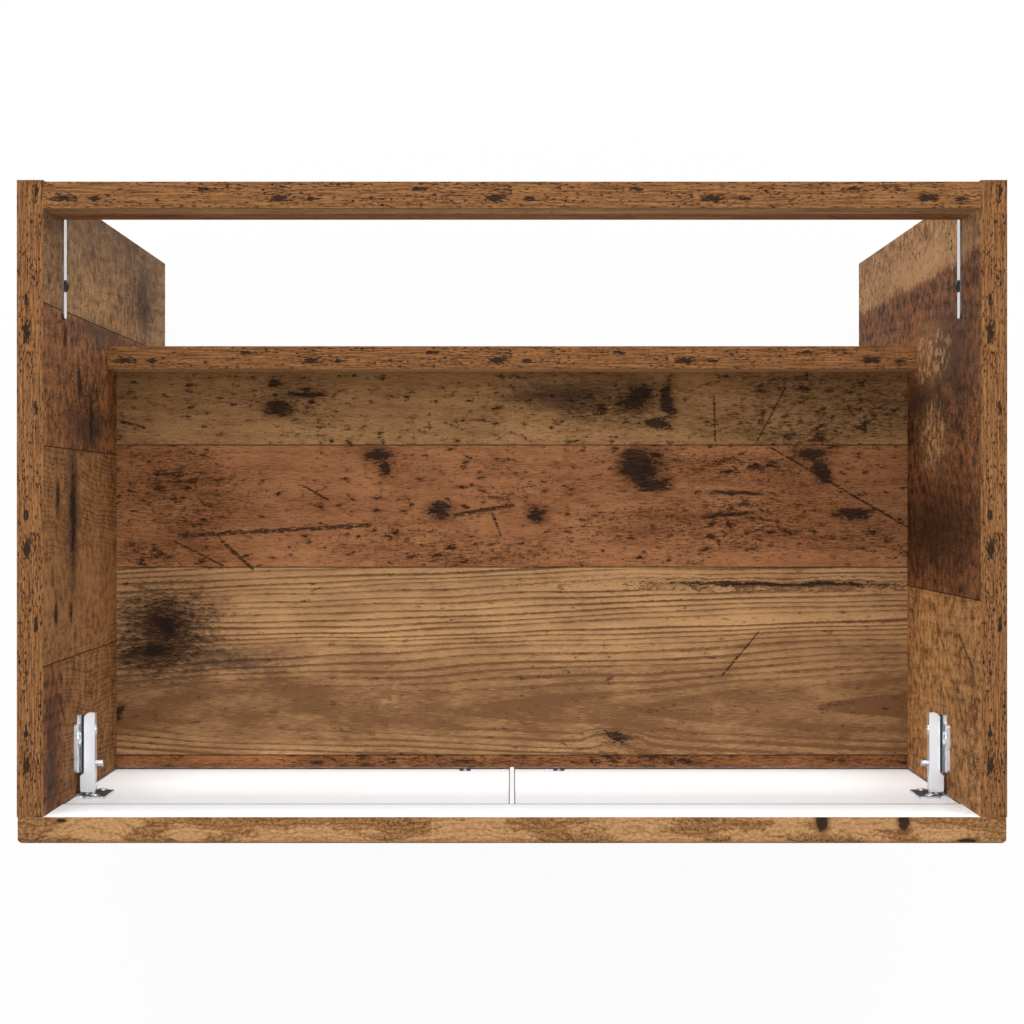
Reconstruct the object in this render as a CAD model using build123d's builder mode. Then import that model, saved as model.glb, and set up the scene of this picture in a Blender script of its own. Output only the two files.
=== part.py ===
from build123d import *
import os

# Bathroom vanity cabinet, open at the top, with two doors on concealed cup hinges.
# Millimetres, +Z up, front towards -Y. The origin is under the middle of the whole cabinet.

# Overall size and board
WIDTH = 600.0
HEIGHT = 800.0
SIDE_DEPTH = 386.0
BOARD = 16.0

# Rails, fascia and shelf
REAR_RAIL_HEIGHT = 95.0
REAR_RAIL_INSET = 1.0
FASCIA_HEIGHT = 101.5
FRONT_END_INSET = 0.5
FRONT_EDGE_RADIUS = 3.0
SHELF_DROP = 421.0
SHELF_INSET = 0.5
PIPE_SPACE = 85.7
SHELF_RAIL_RISE = 61.0

# Doors, plinth and bottom panel
DOOR_GAP = 1.0
DOOR_REVEAL = 2.5
DOOR_SPLIT = 3.0
DOOR_BOTTOM = 90.0
BOTTOM_OVERLAP = 2.0
PLINTH_RECESS = 40.0

# Knobs and their screws
KNOB_PROJECTION = 24.0
KNOB_EDGE_INSET = 32.0
KNOB_RADIUS = 13.0
KNOB_BASE_RADIUS = 8.0
KNOB_BASE_HEIGHT = 2.5
KNOB_NECK_RADIUS = 5.5
KNOB_HEAD_START = 11.0
KNOB_RIM = 5.0
KNOB_SCREW_RADIUS = 2.0
KNOB_SCREW_HOLD = 10.0
KNOB_SCREW_HEAD_RADIUS = 4.2
KNOB_SCREW_HEAD = 2.2

# Glides under the side panels
GLIDE_RADIUS = 7.0
GLIDE_HEIGHT = 3.0
GLIDE_PIN_RADIUS = 1.2
GLIDE_PIN_LENGTH = 15.0
GLIDE_INSET = 30.0

# Cam locks, cam bolts and dowels
FIT = 0.1
END_ROOM = 0.5
CAM_RADIUS = 7.5
CAM_DEPTH = 12.0
CAM_SETBACK = 24.0
CAM_SLOT_LENGTH = 9.0
CAM_SLOT_WIDTH = 1.4
CAM_SLOT_DEPTH = 2.0
BOLT_THREAD_RADIUS = 2.5
BOLT_THREAD_LENGTH = 8.0
BOLT_SHANK_RADIUS = 3.0
BOLT_PAST_CAM = 1.5
DOWEL_RADIUS = 4.0
DOWEL_SHORT_END = 10.0
DOWEL_LONG_END = 20.0
SHELF_CAM_INSET = 60.0
RAIL_DOWEL_DROP = 26.0
FASCIA_DOWEL_INSET = 26.0

# Wall brackets
BRACKET_THICKNESS = 1.3
BRACKET_HEIGHT = 14.0
BRACKET_SIDE_LEG = 79.0
BRACKET_WALL_LEG = 44.0
BRACKET_CORNER_RADIUS = 3.0
BRACKET_SCREW_BACK = 58.5
BRACKET_SCREW_HEAD_RADIUS = 3.95
BRACKET_SCREW_HEAD = 2.2
BRACKET_SCREW_RADIUS = 1.8
BRACKET_SCREW_LENGTH = 12.0
WALL_HOLE_RADIUS = 2.75
WALL_HOLE_INWARD = 28.0

# Hinge cup in the door, and its flange
HINGE_DROP = 183.0
CUP_EDGE_DISTANCE = 16.0
CUP_RADIUS = 13.0
CUP_WALL = 0.7
CUP_DEPTH = 10.5
FLANGE = 0.8
FLANGE_LIP = 1.2
TAB = 1.4
PANEL_ROOM = 0.6
TAB_NEAR = 22.3
TAB_FAR = 36.5
TAB_HEIGHT = 60.0
TAB_CORNER_RADIUS = 1.5
CUP_SCREW_SPACING = 48.0
CUP_SCREW_RADIUS = 1.7
CUP_SCREW_LENGTH = 12.0
CUP_SCREW_HEAD_RADIUS = 3.4
CUP_SCREW_HEAD = 1.4

# Hinge linkage, seen from above: pivots on the arm are given inward from the cabinet's outer face and
# back from the side panel's front edge, pivots in the cup inward from the door's edge and into its back
OUTER_ARM_PIVOT = (22.2, 9.4)
INNER_ARM_PIVOT = (25.9, 11.7)
OUTER_CUP_PIVOT = (7.1, 2.7)
INNER_CUP_PIVOT = (7.5, 7.1)
OUTER_BOW = 7.9
INNER_BOW = 8.8
PIN_RADIUS = 1.2
PIN_FIT = 0.06
EYE_RADIUS = 2.1
LINK_THICKNESS = 1.8
LINK_TIE_RADIUS = 0.8
LINK_TIE_REACH = 5.2

# Layers of the hinge above and below its middle plane
TONGUE_HALF = 1.3
INNER_LINK_HALF = 2.6
OUTER_LINK_NEAR = 3.2
OUTER_LINK_FAR = 4.3
CHEEK_NEAR = 4.6
CHEEK_FAR = 6.1
LAYER_GAP = 0.15

# Hinge arm and mounting plate, inward from the cabinet's outer face and back from the panel's front edge
ARM_TOP = 27.5
ARM_BASE = 20.5
ARM_WEB = 1.3
ARM_BACK = 52.9
ARM_WEB_FRONT = 15.5
KNUCKLE_BASE = 18.0
KNUCKLE_FRONT = 1.4
KNUCKLE_BACK = 12.0
KNUCKLE_RADIUS = 1.2
KNUCKLE_SLOPE = 2.0
TAIL_CHAMFER = 2.0
TONGUE_BACK = 17.0
TONGUE_RADIUS = 2.0
PLATE_FRONT = 14.7
PLATE_BACK = 51.6
PLATE_FOOT_HALF = 6.3
PLATE_NECK_HALF = 3.0
PLATE_HEAD_FRONT = 26.0
WING_FRONT = 15.2
WING_BACK = 46.4
WING_THICKNESS = 2.2
WING_HALF_HEIGHT = 24.0
WING_CORNER_RADIUS = 2.0
PLATE_SCREW_BACK = 37.0
PLATE_SCREW_SPACING = 32.0
PLATE_SCREW_RADIUS = 2.6
PLATE_SCREW_LENGTH = 11.0
PLATE_SCREW_HEAD_RADIUS = 4.6
PLATE_SCREW_HEAD = 1.8
ADJUSTER_BACK = 20.0
ADJUSTER_RADIUS = 2.3
ADJUSTER_TOP = 32.4
ARM_SCREW_BACK = 42.0
ARM_SCREW_RADIUS = 1.9
ARM_SCREW_HEAD_RADIUS = 3.4
ARM_SCREW_HEAD = 1.0

# Places worked out from the sizes above
REAR_Y = (KNOB_PROJECTION + BOARD + DOOR_GAP + SIDE_DEPTH) / 2
FRONT_Y = REAR_Y - SIDE_DEPTH
DOOR_BACK_Y = FRONT_Y - DOOR_GAP
DOOR_FRONT_Y = DOOR_BACK_Y - BOARD
OUTER_X = WIDTH / 2
INNER_X = OUTER_X - BOARD
DOOR_EDGE_X = OUTER_X - FRONT_END_INSET
DOOR_TOP = HEIGHT - FASCIA_HEIGHT - DOOR_REVEAL
DOOR_MIDDLE = (DOOR_BOTTOM + DOOR_TOP) / 2
SHELF_TOP = HEIGHT - SHELF_DROP
SHELF_BACK_Y = REAR_Y - PIPE_SPACE - BOARD
PLINTH_TOP = DOOR_BOTTOM + BOTTOM_OVERLAP
BOTTOM_TOP = PLINTH_TOP + BOARD
RAIL_BOTTOM = HEIGHT - REAR_RAIL_HEIGHT
KNOB_X = DOOR_SPLIT / 2 + KNOB_EDGE_INSET
UPPER_HINGE_Z = HEIGHT - HINGE_DROP
LOWER_HINGE_Z = 2 * DOOR_MIDDLE - UPPER_HINGE_Z
HINGE_HEIGHTS = {"upper": UPPER_HINGE_Z, "lower": LOWER_HINGE_Z}
SIDES = ("left", "right")
ENDS = (-1, 1)
REARWARD = Vector(0, 1, 0)
DOWNWARD = Vector(0, 0, -1)

os.makedirs("parts", exist_ok=True)


def save(part, name):
    """Label a finished piece and write it to its own file."""
    part.label = name
    export_step(part, f"parts/{name}.step")


def block(x_span, y_span, z_span, mode=Mode.ADD):
    """A box between three pairs of limits."""
    low, high = (Vector(*corner) for corner in zip(x_span, y_span, z_span))
    with Locations((low + high) / 2):
        Box(*(high - low), mode=mode)


def rod(start, end, radius, mode=Mode.ADD):
    """A round bar or bore from one point to another."""
    along = Vector(end) - Vector(start)
    with Locations(Plane(origin=start, z_dir=along)):
        Cylinder(radius, along.length, align=(Align.CENTER, Align.CENTER, Align.MIN), mode=mode)


def turn_to(side):
    """Pieces are drawn on the left: the right one is their mirror image."""
    if side == "right":
        mirror(about=Plane.YZ, mode=Mode.REPLACE)


def on_arm(inward, back):
    """A point on the left hinge arm, seen from above."""
    return Vector(inward - OUTER_X, FRONT_Y + back)


def in_door(inward, deep):
    """A point in the closed left door, seen from above."""
    return Vector(inward - DOOR_EDGE_X, DOOR_BACK_Y - deep)


def at_height(point, z):
    """A point of the view from above, at a height."""
    return Vector(point.X, point.Y, z)


# Each cross board: its span from front to back, its span in height, and its cams and dowels.
# A cam is placed by the middle of its board and the side it opens to, a dowel by its height alone.
REAR_RAIL_YS = (REAR_Y - REAR_RAIL_INSET - BOARD, REAR_Y - REAR_RAIL_INSET)
SHELF_YS = (FRONT_Y + SHELF_INSET, SHELF_BACK_Y)
SHELF_RAIL_YS = (SHELF_BACK_Y, SHELF_BACK_Y + BOARD)
BOTTOM_YS = (FRONT_Y + SHELF_INSET, SHELF_BACK_Y + BOARD)
PLINTH_YS = (FRONT_Y + PLINTH_RECESS, FRONT_Y + PLINTH_RECESS + BOARD)
CROSS_BOARDS = {
    "rear_top_rail": (REAR_RAIL_YS, (RAIL_BOTTOM, HEIGHT)),
    "shelf": (SHELF_YS, (SHELF_TOP - BOARD, SHELF_TOP)),
    "shelf_back_rail": (SHELF_RAIL_YS, (SHELF_TOP - BOARD, SHELF_TOP + SHELF_RAIL_RISE)),
    "bottom_panel": (BOTTOM_YS, (PLINTH_TOP, BOTTOM_TOP)),
    "plinth": (PLINTH_YS, (GLIDE_HEIGHT, PLINTH_TOP)),
}


def cam_sites(name):
    """Middle point of each cam of a board, as (y, z), and the way the cam opens."""
    ys, zs = CROSS_BOARDS[name]
    middle_y = sum(ys) / 2
    middle_z = sum(zs) / 2
    if zs[1] - zs[0] > BOARD:
        return [(middle_y, middle_z, REARWARD)]
    places = (ys[0] + SHELF_CAM_INSET, ys[1] - SHELF_CAM_INSET)
    return [(y, middle_z, DOWNWARD) for y in places]


def dowel_sites(name):
    """Each dowel of a standing board, as (y, z). The lying boards have cams alone."""
    ys, zs = CROSS_BOARDS[name]
    if zs[1] - zs[0] > BOARD:
        return [(sum(ys) / 2, sum(zs) / 2 - RAIL_DOWEL_DROP)]
    return []


ALL_CAMS = [site for name in CROSS_BOARDS for site in cam_sites(name)]
ALL_DOWELS = [site for name in CROSS_BOARDS for site in dowel_sites(name)]
FASCIA_DOWEL_ZS = (HEIGHT - FASCIA_DOWEL_INSET, HEIGHT - FASCIA_HEIGHT + FASCIA_DOWEL_INSET)
FASCIA_DOWEL_X = OUTER_X - BOARD / 2
GLIDE_YS = (FRONT_Y + GLIDE_INSET, REAR_Y - GLIDE_INSET)
BRACKET_MIDDLE_Z = RAIL_BOTTOM - BRACKET_HEIGHT / 2
BRACKET_SCREW_Y = REAR_Y - BRACKET_SCREW_BACK
PLATE_SCREW_OFFSETS = (-PLATE_SCREW_SPACING / 2, PLATE_SCREW_SPACING / 2)
CUP_SCREW_OFFSETS = (-CUP_SCREW_SPACING / 2, CUP_SCREW_SPACING / 2)
CUP_SCREW_INWARD = (TAB_NEAR + TAB_FAR) / 2
CUP_AXIS = in_door(CUP_EDGE_DISTANCE, 0)
CUP_RISE = max(FLANGE, TAB)


# Side panels, bored for everything that is screwed or pegged into them
for side in SIDES:
    with BuildPart() as side_panel:
        block((-OUTER_X, -INNER_X), (FRONT_Y, REAR_Y), (GLIDE_HEIGHT, HEIGHT))
        for y, z, _ in ALL_CAMS:
            thread_end = -INNER_X - BOLT_THREAD_LENGTH - END_ROOM
            rod((-INNER_X, y, z), (thread_end, y, z), BOLT_THREAD_RADIUS + FIT, Mode.SUBTRACT)
        for y, z in ALL_DOWELS:
            dowel_end = -INNER_X - DOWEL_SHORT_END - END_ROOM
            rod((-INNER_X, y, z), (dowel_end, y, z), DOWEL_RADIUS + FIT, Mode.SUBTRACT)
        for z in FASCIA_DOWEL_ZS:
            start = (-FASCIA_DOWEL_X, FRONT_Y, z)
            end = (-FASCIA_DOWEL_X, FRONT_Y + DOWEL_LONG_END + END_ROOM, z)
            rod(start, end, DOWEL_RADIUS + FIT, Mode.SUBTRACT)
        for y in GLIDE_YS:
            start = (-FASCIA_DOWEL_X, y, GLIDE_HEIGHT)
            end = (-FASCIA_DOWEL_X, y, GLIDE_HEIGHT + GLIDE_PIN_LENGTH + END_ROOM)
            rod(start, end, GLIDE_PIN_RADIUS + FIT, Mode.SUBTRACT)
        for hinge_z in HINGE_HEIGHTS.values():
            for offset in PLATE_SCREW_OFFSETS:
                start = at_height(on_arm(BOARD, PLATE_SCREW_BACK), hinge_z + offset)
                end = start - Vector(PLATE_SCREW_LENGTH + END_ROOM, 0, 0)
                rod(start, end, PLATE_SCREW_RADIUS + FIT, Mode.SUBTRACT)
        start = Vector(-INNER_X, BRACKET_SCREW_Y, BRACKET_MIDDLE_Z)
        end = start - Vector(BRACKET_SCREW_LENGTH + END_ROOM, 0, 0)
        rod(start, end, BRACKET_SCREW_RADIUS + FIT, Mode.SUBTRACT)
        turn_to(side)
    save(side_panel.part, f"{side}_side_panel")

# Rails, shelf, bottom panel and plinth between the side panels
for name, (y_span, z_span) in CROSS_BOARDS.items():
    with BuildPart() as cross_board:
        block((-INNER_X, INNER_X), y_span, z_span)
        for end in ENDS:
            face_x = end * INNER_X
            for y, z, toward in cam_sites(name):
                middle = Vector(end * (INNER_X - CAM_SETBACK), y, z)
                mouth = middle + toward * (BOARD / 2)
                floor = mouth - toward * (CAM_DEPTH + FIT)
                rod(mouth, floor, CAM_RADIUS + FIT, Mode.SUBTRACT)
                rod((face_x, y, z), middle, BOLT_SHANK_RADIUS + FIT, Mode.SUBTRACT)
            for y, z in dowel_sites(name):
                inner_end = (face_x - end * (DOWEL_LONG_END + END_ROOM), y, z)
                rod((face_x, y, z), inner_end, DOWEL_RADIUS + FIT, Mode.SUBTRACT)
    save(cross_board.part, name)

# Fascia across the front edges of the side panels
with BuildPart() as fascia:
    block((-DOOR_EDGE_X, DOOR_EDGE_X), (FRONT_Y - BOARD, FRONT_Y), (HEIGHT - FASCIA_HEIGHT, HEIGHT))
    fillet(fascia.faces().sort_by(Axis.Y)[0].edges(), radius=FRONT_EDGE_RADIUS)
    for end in ENDS:
        for z in FASCIA_DOWEL_ZS:
            start = (end * FASCIA_DOWEL_X, FRONT_Y, z)
            floor = (end * FASCIA_DOWEL_X, FRONT_Y - DOWEL_SHORT_END - END_ROOM, z)
            rod(start, floor, DOWEL_RADIUS + FIT, Mode.SUBTRACT)
save(fascia.part, "front_fascia")

# Doors, with a blind bore for each hinge cup
for side in SIDES:
    with BuildPart() as door:
        block((-DOOR_EDGE_X, -DOOR_SPLIT / 2), (DOOR_FRONT_Y, DOOR_BACK_Y), (DOOR_BOTTOM, DOOR_TOP))
        fillet(door.faces().sort_by(Axis.Y)[0].edges(), radius=FRONT_EDGE_RADIUS)
        for hinge_z in HINGE_HEIGHTS.values():
            mouth = at_height(CUP_AXIS, hinge_z)
            rod(mouth, mouth - REARWARD * (CUP_DEPTH + FIT), CUP_RADIUS + FIT, Mode.SUBTRACT)
            for offset in CUP_SCREW_OFFSETS:
                start = at_height(Vector(CUP_SCREW_INWARD - OUTER_X, DOOR_BACK_Y), hinge_z + offset)
                end = start - REARWARD * (CUP_SCREW_LENGTH + END_ROOM)
                rod(start, end, CUP_SCREW_RADIUS + FIT, Mode.SUBTRACT)
        start = Vector(-KNOB_X, DOOR_BACK_Y, DOOR_MIDDLE)
        rod(start, start - REARWARD * BOARD, KNOB_SCREW_RADIUS + FIT, Mode.SUBTRACT)
        turn_to(side)
    save(door.part, f"{side}_door")

# Turned knobs: a base, a waisted neck and a domed head
for side in SIDES:
    with BuildPart() as knob:
        knob_plane = Plane(origin=(-KNOB_X, DOOR_FRONT_Y, DOOR_MIDDLE), x_dir=(1, 0, 0), z_dir=(0, 0, 1))
        with BuildSketch(knob_plane):
            with BuildLine():
                rim_start = (KNOB_RADIUS, -KNOB_HEAD_START)
                rim_end = (KNOB_RADIUS, -KNOB_HEAD_START - KNOB_RIM)
                crown = (0, -KNOB_PROJECTION)
                Polyline((0, 0), (KNOB_BASE_RADIUS, 0), (KNOB_BASE_RADIUS, -KNOB_BASE_HEIGHT))
                neck_middle = (KNOB_NECK_RADIUS, -(KNOB_BASE_HEIGHT + KNOB_HEAD_START) / 2)
                ThreePointArc((KNOB_BASE_RADIUS, -KNOB_BASE_HEIGHT), neck_middle, rim_start)
                Line(rim_start, rim_end)
                TangentArc(crown, rim_end, tangent=(1, 0))
                Line(crown, (0, 0))
            make_face()
        revolve(axis=Axis((-KNOB_X, DOOR_FRONT_Y, DOOR_MIDDLE), (0, 1, 0)))
        seat = Vector(-KNOB_X, DOOR_FRONT_Y, DOOR_MIDDLE)
        rod(seat, seat - REARWARD * (KNOB_SCREW_HOLD + END_ROOM), KNOB_SCREW_RADIUS + FIT, Mode.SUBTRACT)
        turn_to(side)
    save(knob.part, f"{side}_knob")

    with BuildPart() as knob_screw:
        under_head = Vector(-KNOB_X, DOOR_BACK_Y, DOOR_MIDDLE)
        rod(under_head, under_head + REARWARD * KNOB_SCREW_HEAD, KNOB_SCREW_HEAD_RADIUS)
        head_rim = knob_screw.faces().sort_by(Axis.Y)[-1].edges()
        fillet(head_rim, radius=KNOB_SCREW_HEAD / 2)
        rod(under_head, under_head - REARWARD * (BOARD + KNOB_SCREW_HOLD), KNOB_SCREW_RADIUS)
        turn_to(side)
    save(knob_screw.part, f"{side}_knob_screw")

# Glides: a round foot with a pin driven up into the panel's lower edge
with BuildPart() as glides:
    for end in ENDS:
        for y in GLIDE_YS:
            foot = Vector(end * FASCIA_DOWEL_X, y, 0)
            rod(foot, foot - DOWNWARD * GLIDE_HEIGHT, GLIDE_RADIUS)
            rod(foot, foot - DOWNWARD * (GLIDE_HEIGHT + GLIDE_PIN_LENGTH), GLIDE_PIN_RADIUS)
save(glides.part, "floor_glides")

# Cam locks, each with a slot for the driver and a bore for its bolt
with BuildPart() as cam_locks:
    for end in ENDS:
        for y, z, toward in ALL_CAMS:
            middle = Vector(end * (INNER_X - CAM_SETBACK), y, z)
            mouth = middle + toward * (BOARD / 2)
            rod(mouth, mouth - toward * CAM_DEPTH, CAM_RADIUS)
    for end in ENDS:
        for y, z, toward in ALL_CAMS:
            middle = Vector(end * (INNER_X - CAM_SETBACK), y, z)
            mouth = middle + toward * (BOARD / 2)
            bolt_end = middle - Vector(end * (BOLT_PAST_CAM + FIT), 0, 0)
            rim = middle + Vector(end * CAM_SETBACK, 0, 0)
            rod(rim, bolt_end, BOLT_SHANK_RADIUS + FIT, Mode.SUBTRACT)
            with Locations(Plane(origin=mouth, x_dir=(1, 0, 0), z_dir=toward)):
                Box(CAM_SLOT_LENGTH, CAM_SLOT_WIDTH, 2 * CAM_SLOT_DEPTH, mode=Mode.SUBTRACT)
save(cam_locks.part, "cam_locks")

# Cam bolts: a thread in the side panel and a shank that reaches into the cam
with BuildPart() as cam_bolts:
    for end in ENDS:
        for y, z, _ in ALL_CAMS:
            seat = Vector(end * INNER_X, y, z)
            rod(seat, seat + Vector(end * BOLT_THREAD_LENGTH, 0, 0), BOLT_THREAD_RADIUS)
            rod(seat, seat - Vector(end * (CAM_SETBACK + BOLT_PAST_CAM), 0, 0), BOLT_SHANK_RADIUS)
save(cam_bolts.part, "cam_bolts")

# Dowels at the ends of the standing boards, and between the side panels and the fascia
with BuildPart() as dowels:
    for end in ENDS:
        for y, z in ALL_DOWELS:
            in_side = (end * (INNER_X + DOWEL_SHORT_END), y, z)
            in_board = (end * (INNER_X - DOWEL_LONG_END), y, z)
            rod(in_side, in_board, DOWEL_RADIUS)
        for z in FASCIA_DOWEL_ZS:
            in_side = (end * FASCIA_DOWEL_X, FRONT_Y + DOWEL_LONG_END, z)
            in_fascia = (end * FASCIA_DOWEL_X, FRONT_Y - DOWEL_SHORT_END, z)
            rod(in_side, in_fascia, DOWEL_RADIUS)
save(dowels.part, "dowels")

# Wall brackets: a bent strip with one leg on the side panel and one against the wall
for side in SIDES:
    with BuildPart() as bracket:
        heights = (RAIL_BOTTOM - BRACKET_HEIGHT, RAIL_BOTTOM)
        block((-INNER_X, -INNER_X + BRACKET_THICKNESS), (REAR_Y - BRACKET_SIDE_LEG, REAR_Y), heights)
        fillet(bracket.faces().sort_by(Axis.Y)[0].edges().filter_by(Axis.X), BRACKET_CORNER_RADIUS)
        block((-INNER_X, -INNER_X + BRACKET_WALL_LEG), (REAR_Y - BRACKET_THICKNESS, REAR_Y), heights)
        fillet(bracket.faces().sort_by(Axis.X)[-1].edges().filter_by(Axis.Y), BRACKET_CORNER_RADIUS)
        start = Vector(-INNER_X, BRACKET_SCREW_Y, BRACKET_MIDDLE_Z)
        end = start + Vector(BRACKET_THICKNESS, 0, 0)
        rod(start, end, BRACKET_SCREW_RADIUS + FIT, Mode.SUBTRACT)
        wall_hole = Vector(-INNER_X + WALL_HOLE_INWARD, REAR_Y, BRACKET_MIDDLE_Z)
        rod(wall_hole, wall_hole - REARWARD * BRACKET_THICKNESS, WALL_HOLE_RADIUS, Mode.SUBTRACT)
        turn_to(side)
    save(bracket.part, f"{side}_wall_bracket")

with BuildPart() as bracket_screws:
    for end in ENDS:
        under_head = Vector(end * (INNER_X - BRACKET_THICKNESS), BRACKET_SCREW_Y, BRACKET_MIDDLE_Z)
        rod(under_head, under_head - Vector(end * BRACKET_SCREW_HEAD, 0, 0), BRACKET_SCREW_HEAD_RADIUS)
    head_rims = bracket_screws.faces().filter_by(Axis.X).group_by(SortBy.DISTANCE)[0].edges()
    fillet(head_rims, radius=BRACKET_SCREW_HEAD / 2)
    for end in ENDS:
        under_head = Vector(end * (INNER_X - BRACKET_THICKNESS), BRACKET_SCREW_Y, BRACKET_MIDDLE_Z)
        shank = BRACKET_THICKNESS + BRACKET_SCREW_LENGTH
        rod(under_head, under_head + Vector(end * shank, 0, 0), BRACKET_SCREW_RADIUS)
save(bracket_screws.part, "bracket_screws")


def bowed_line(arm_pivot, cup_pivot, bow):
    """A link's middle line: an arc from pivot to pivot, bowed away from the side panel's corner."""
    along = (arm_pivot - cup_pivot).normalized()
    away = Vector(along.Y, -along.X)
    return ThreePointArc(cup_pivot, (arm_pivot + cup_pivot) / 2 + away * bow, arm_pivot)


def link_outline(arm_pivot, cup_pivot, bow):
    """The outline of a link from above: a bowed bar with an eye at each end."""
    with BuildLine() as middle_line:
        bowed_line(arm_pivot, cup_pivot, bow)
    SlotArc(middle_line.wire(), LINK_THICKNESS)
    with Locations(arm_pivot, cup_pivot):
        Circle(EYE_RADIUS)


# Hinges, made once at each height and mirrored to the right
OUTER_ARM = on_arm(*OUTER_ARM_PIVOT)
INNER_ARM = on_arm(*INNER_ARM_PIVOT)
OUTER_CUP = in_door(*OUTER_CUP_PIVOT)
INNER_CUP = in_door(*INNER_CUP_PIVOT)
for side in SIDES:
    for level, hinge_z in HINGE_HEIGHTS.items():
        prefix = f"{side}_{level}"

        # Mounting plate: a foot with a wing above and below for the screws, a neck, and a head inside the arm
        with BuildPart() as plate:
            wing_xs = (-INNER_X, -INNER_X + WING_THICKNESS)
            wing_zs = (hinge_z - WING_HALF_HEIGHT, hinge_z + WING_HALF_HEIGHT)
            block(wing_xs, (FRONT_Y + WING_FRONT, FRONT_Y + WING_BACK), wing_zs)
            fillet(plate.edges().filter_by(Axis.X), radius=WING_CORNER_RADIUS)
            plate_ys = (FRONT_Y + PLATE_FRONT, FRONT_Y + PLATE_BACK)
            block(wing_xs, plate_ys, (hinge_z - PLATE_FOOT_HALF, hinge_z + PLATE_FOOT_HALF))
            neck_xs = (-INNER_X, -OUTER_X + ARM_BASE)
            block(neck_xs, plate_ys, (hinge_z - PLATE_NECK_HALF, hinge_z + PLATE_NECK_HALF))
            head_xs = (-OUTER_X + ARM_BASE, -OUTER_X + ARM_TOP - ARM_WEB)
            head_half = CHEEK_NEAR - LAYER_GAP
            head_zs = (hinge_z - head_half, hinge_z + head_half)
            block(head_xs, (FRONT_Y + PLATE_HEAD_FRONT, FRONT_Y + PLATE_BACK), head_zs)
            for offset in PLATE_SCREW_OFFSETS:
                start = at_height(on_arm(BOARD, PLATE_SCREW_BACK), hinge_z + offset)
                end = start + Vector(WING_THICKNESS, 0, 0)
                rod(start, end, PLATE_SCREW_RADIUS + FIT, Mode.SUBTRACT)
            start = at_height(on_arm(ARM_TOP - ARM_WEB, ARM_SCREW_BACK), hinge_z)
            end = at_height(on_arm(BOARD, ARM_SCREW_BACK), hinge_z)
            rod(start, end, ARM_SCREW_RADIUS + FIT, Mode.SUBTRACT)
            turn_to(side)
        save(plate.part, f"{prefix}_hinge_plate")

        # Arm: a channel with two cheeks, pins for the outer link and a tongue for the inner one
        with BuildPart() as arm:
            with BuildSketch(Plane.XY.offset(hinge_z - CHEEK_FAR)) as cheek:
                with BuildLine():
                    Polyline(
                        on_arm(KNUCKLE_BASE, KNUCKLE_FRONT),
                        on_arm(ARM_TOP, KNUCKLE_FRONT),
                        on_arm(ARM_TOP, ARM_BACK),
                        on_arm(ARM_BASE + TAIL_CHAMFER, ARM_BACK),
                        on_arm(ARM_BASE, ARM_BACK - TAIL_CHAMFER),
                        on_arm(ARM_BASE, KNUCKLE_BACK + KNUCKLE_SLOPE),
                        on_arm(KNUCKLE_BASE, KNUCKLE_BACK),
                        close=True,
                    )
                make_face()
                fillet(cheek.vertices().group_by(Axis.Y)[0], radius=KNUCKLE_RADIUS)
            extrude(amount=2 * CHEEK_FAR)
            web_inner = -OUTER_X + ARM_TOP - ARM_WEB
            channel_zs = (hinge_z - CHEEK_NEAR, hinge_z + CHEEK_NEAR)
            block((-INNER_X, web_inner), (FRONT_Y, REAR_Y), channel_zs, Mode.SUBTRACT)
            block((-INNER_X, 0), (FRONT_Y, FRONT_Y + ARM_WEB_FRONT), channel_zs, Mode.SUBTRACT)
            with BuildSketch(Plane.XY.offset(hinge_z - TONGUE_HALF)):
                with Locations(INNER_ARM):
                    Circle(TONGUE_RADIUS)
                root_low = on_arm(INNER_ARM_PIVOT[0] - TONGUE_RADIUS, INNER_ARM_PIVOT[1])
                root_high = on_arm(ARM_TOP, TONGUE_BACK)
                with Locations((root_low + root_high) / 2):
                    Rectangle(root_high.X - root_low.X, root_high.Y - root_low.Y)
            extrude(amount=2 * TONGUE_HALF)
            pin_start = at_height(INNER_ARM, hinge_z - INNER_LINK_HALF)
            pin_end = at_height(INNER_ARM, hinge_z + INNER_LINK_HALF)
            rod(pin_start, pin_end, PIN_RADIUS)
            for end in ENDS:
                pin_start = at_height(OUTER_ARM, hinge_z + end * CHEEK_NEAR)
                pin_end = at_height(OUTER_ARM, hinge_z + end * OUTER_LINK_NEAR)
                rod(pin_start, pin_end, PIN_RADIUS)
            for back, radius in ((ADJUSTER_BACK, ADJUSTER_RADIUS), (ARM_SCREW_BACK, ARM_SCREW_RADIUS)):
                start = at_height(on_arm(ARM_TOP - ARM_WEB, back), hinge_z)
                end = at_height(on_arm(ARM_TOP, back), hinge_z)
                rod(start, end, radius + FIT, Mode.SUBTRACT)
            turn_to(side)
        save(arm.part, f"{prefix}_hinge_arm")

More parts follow.
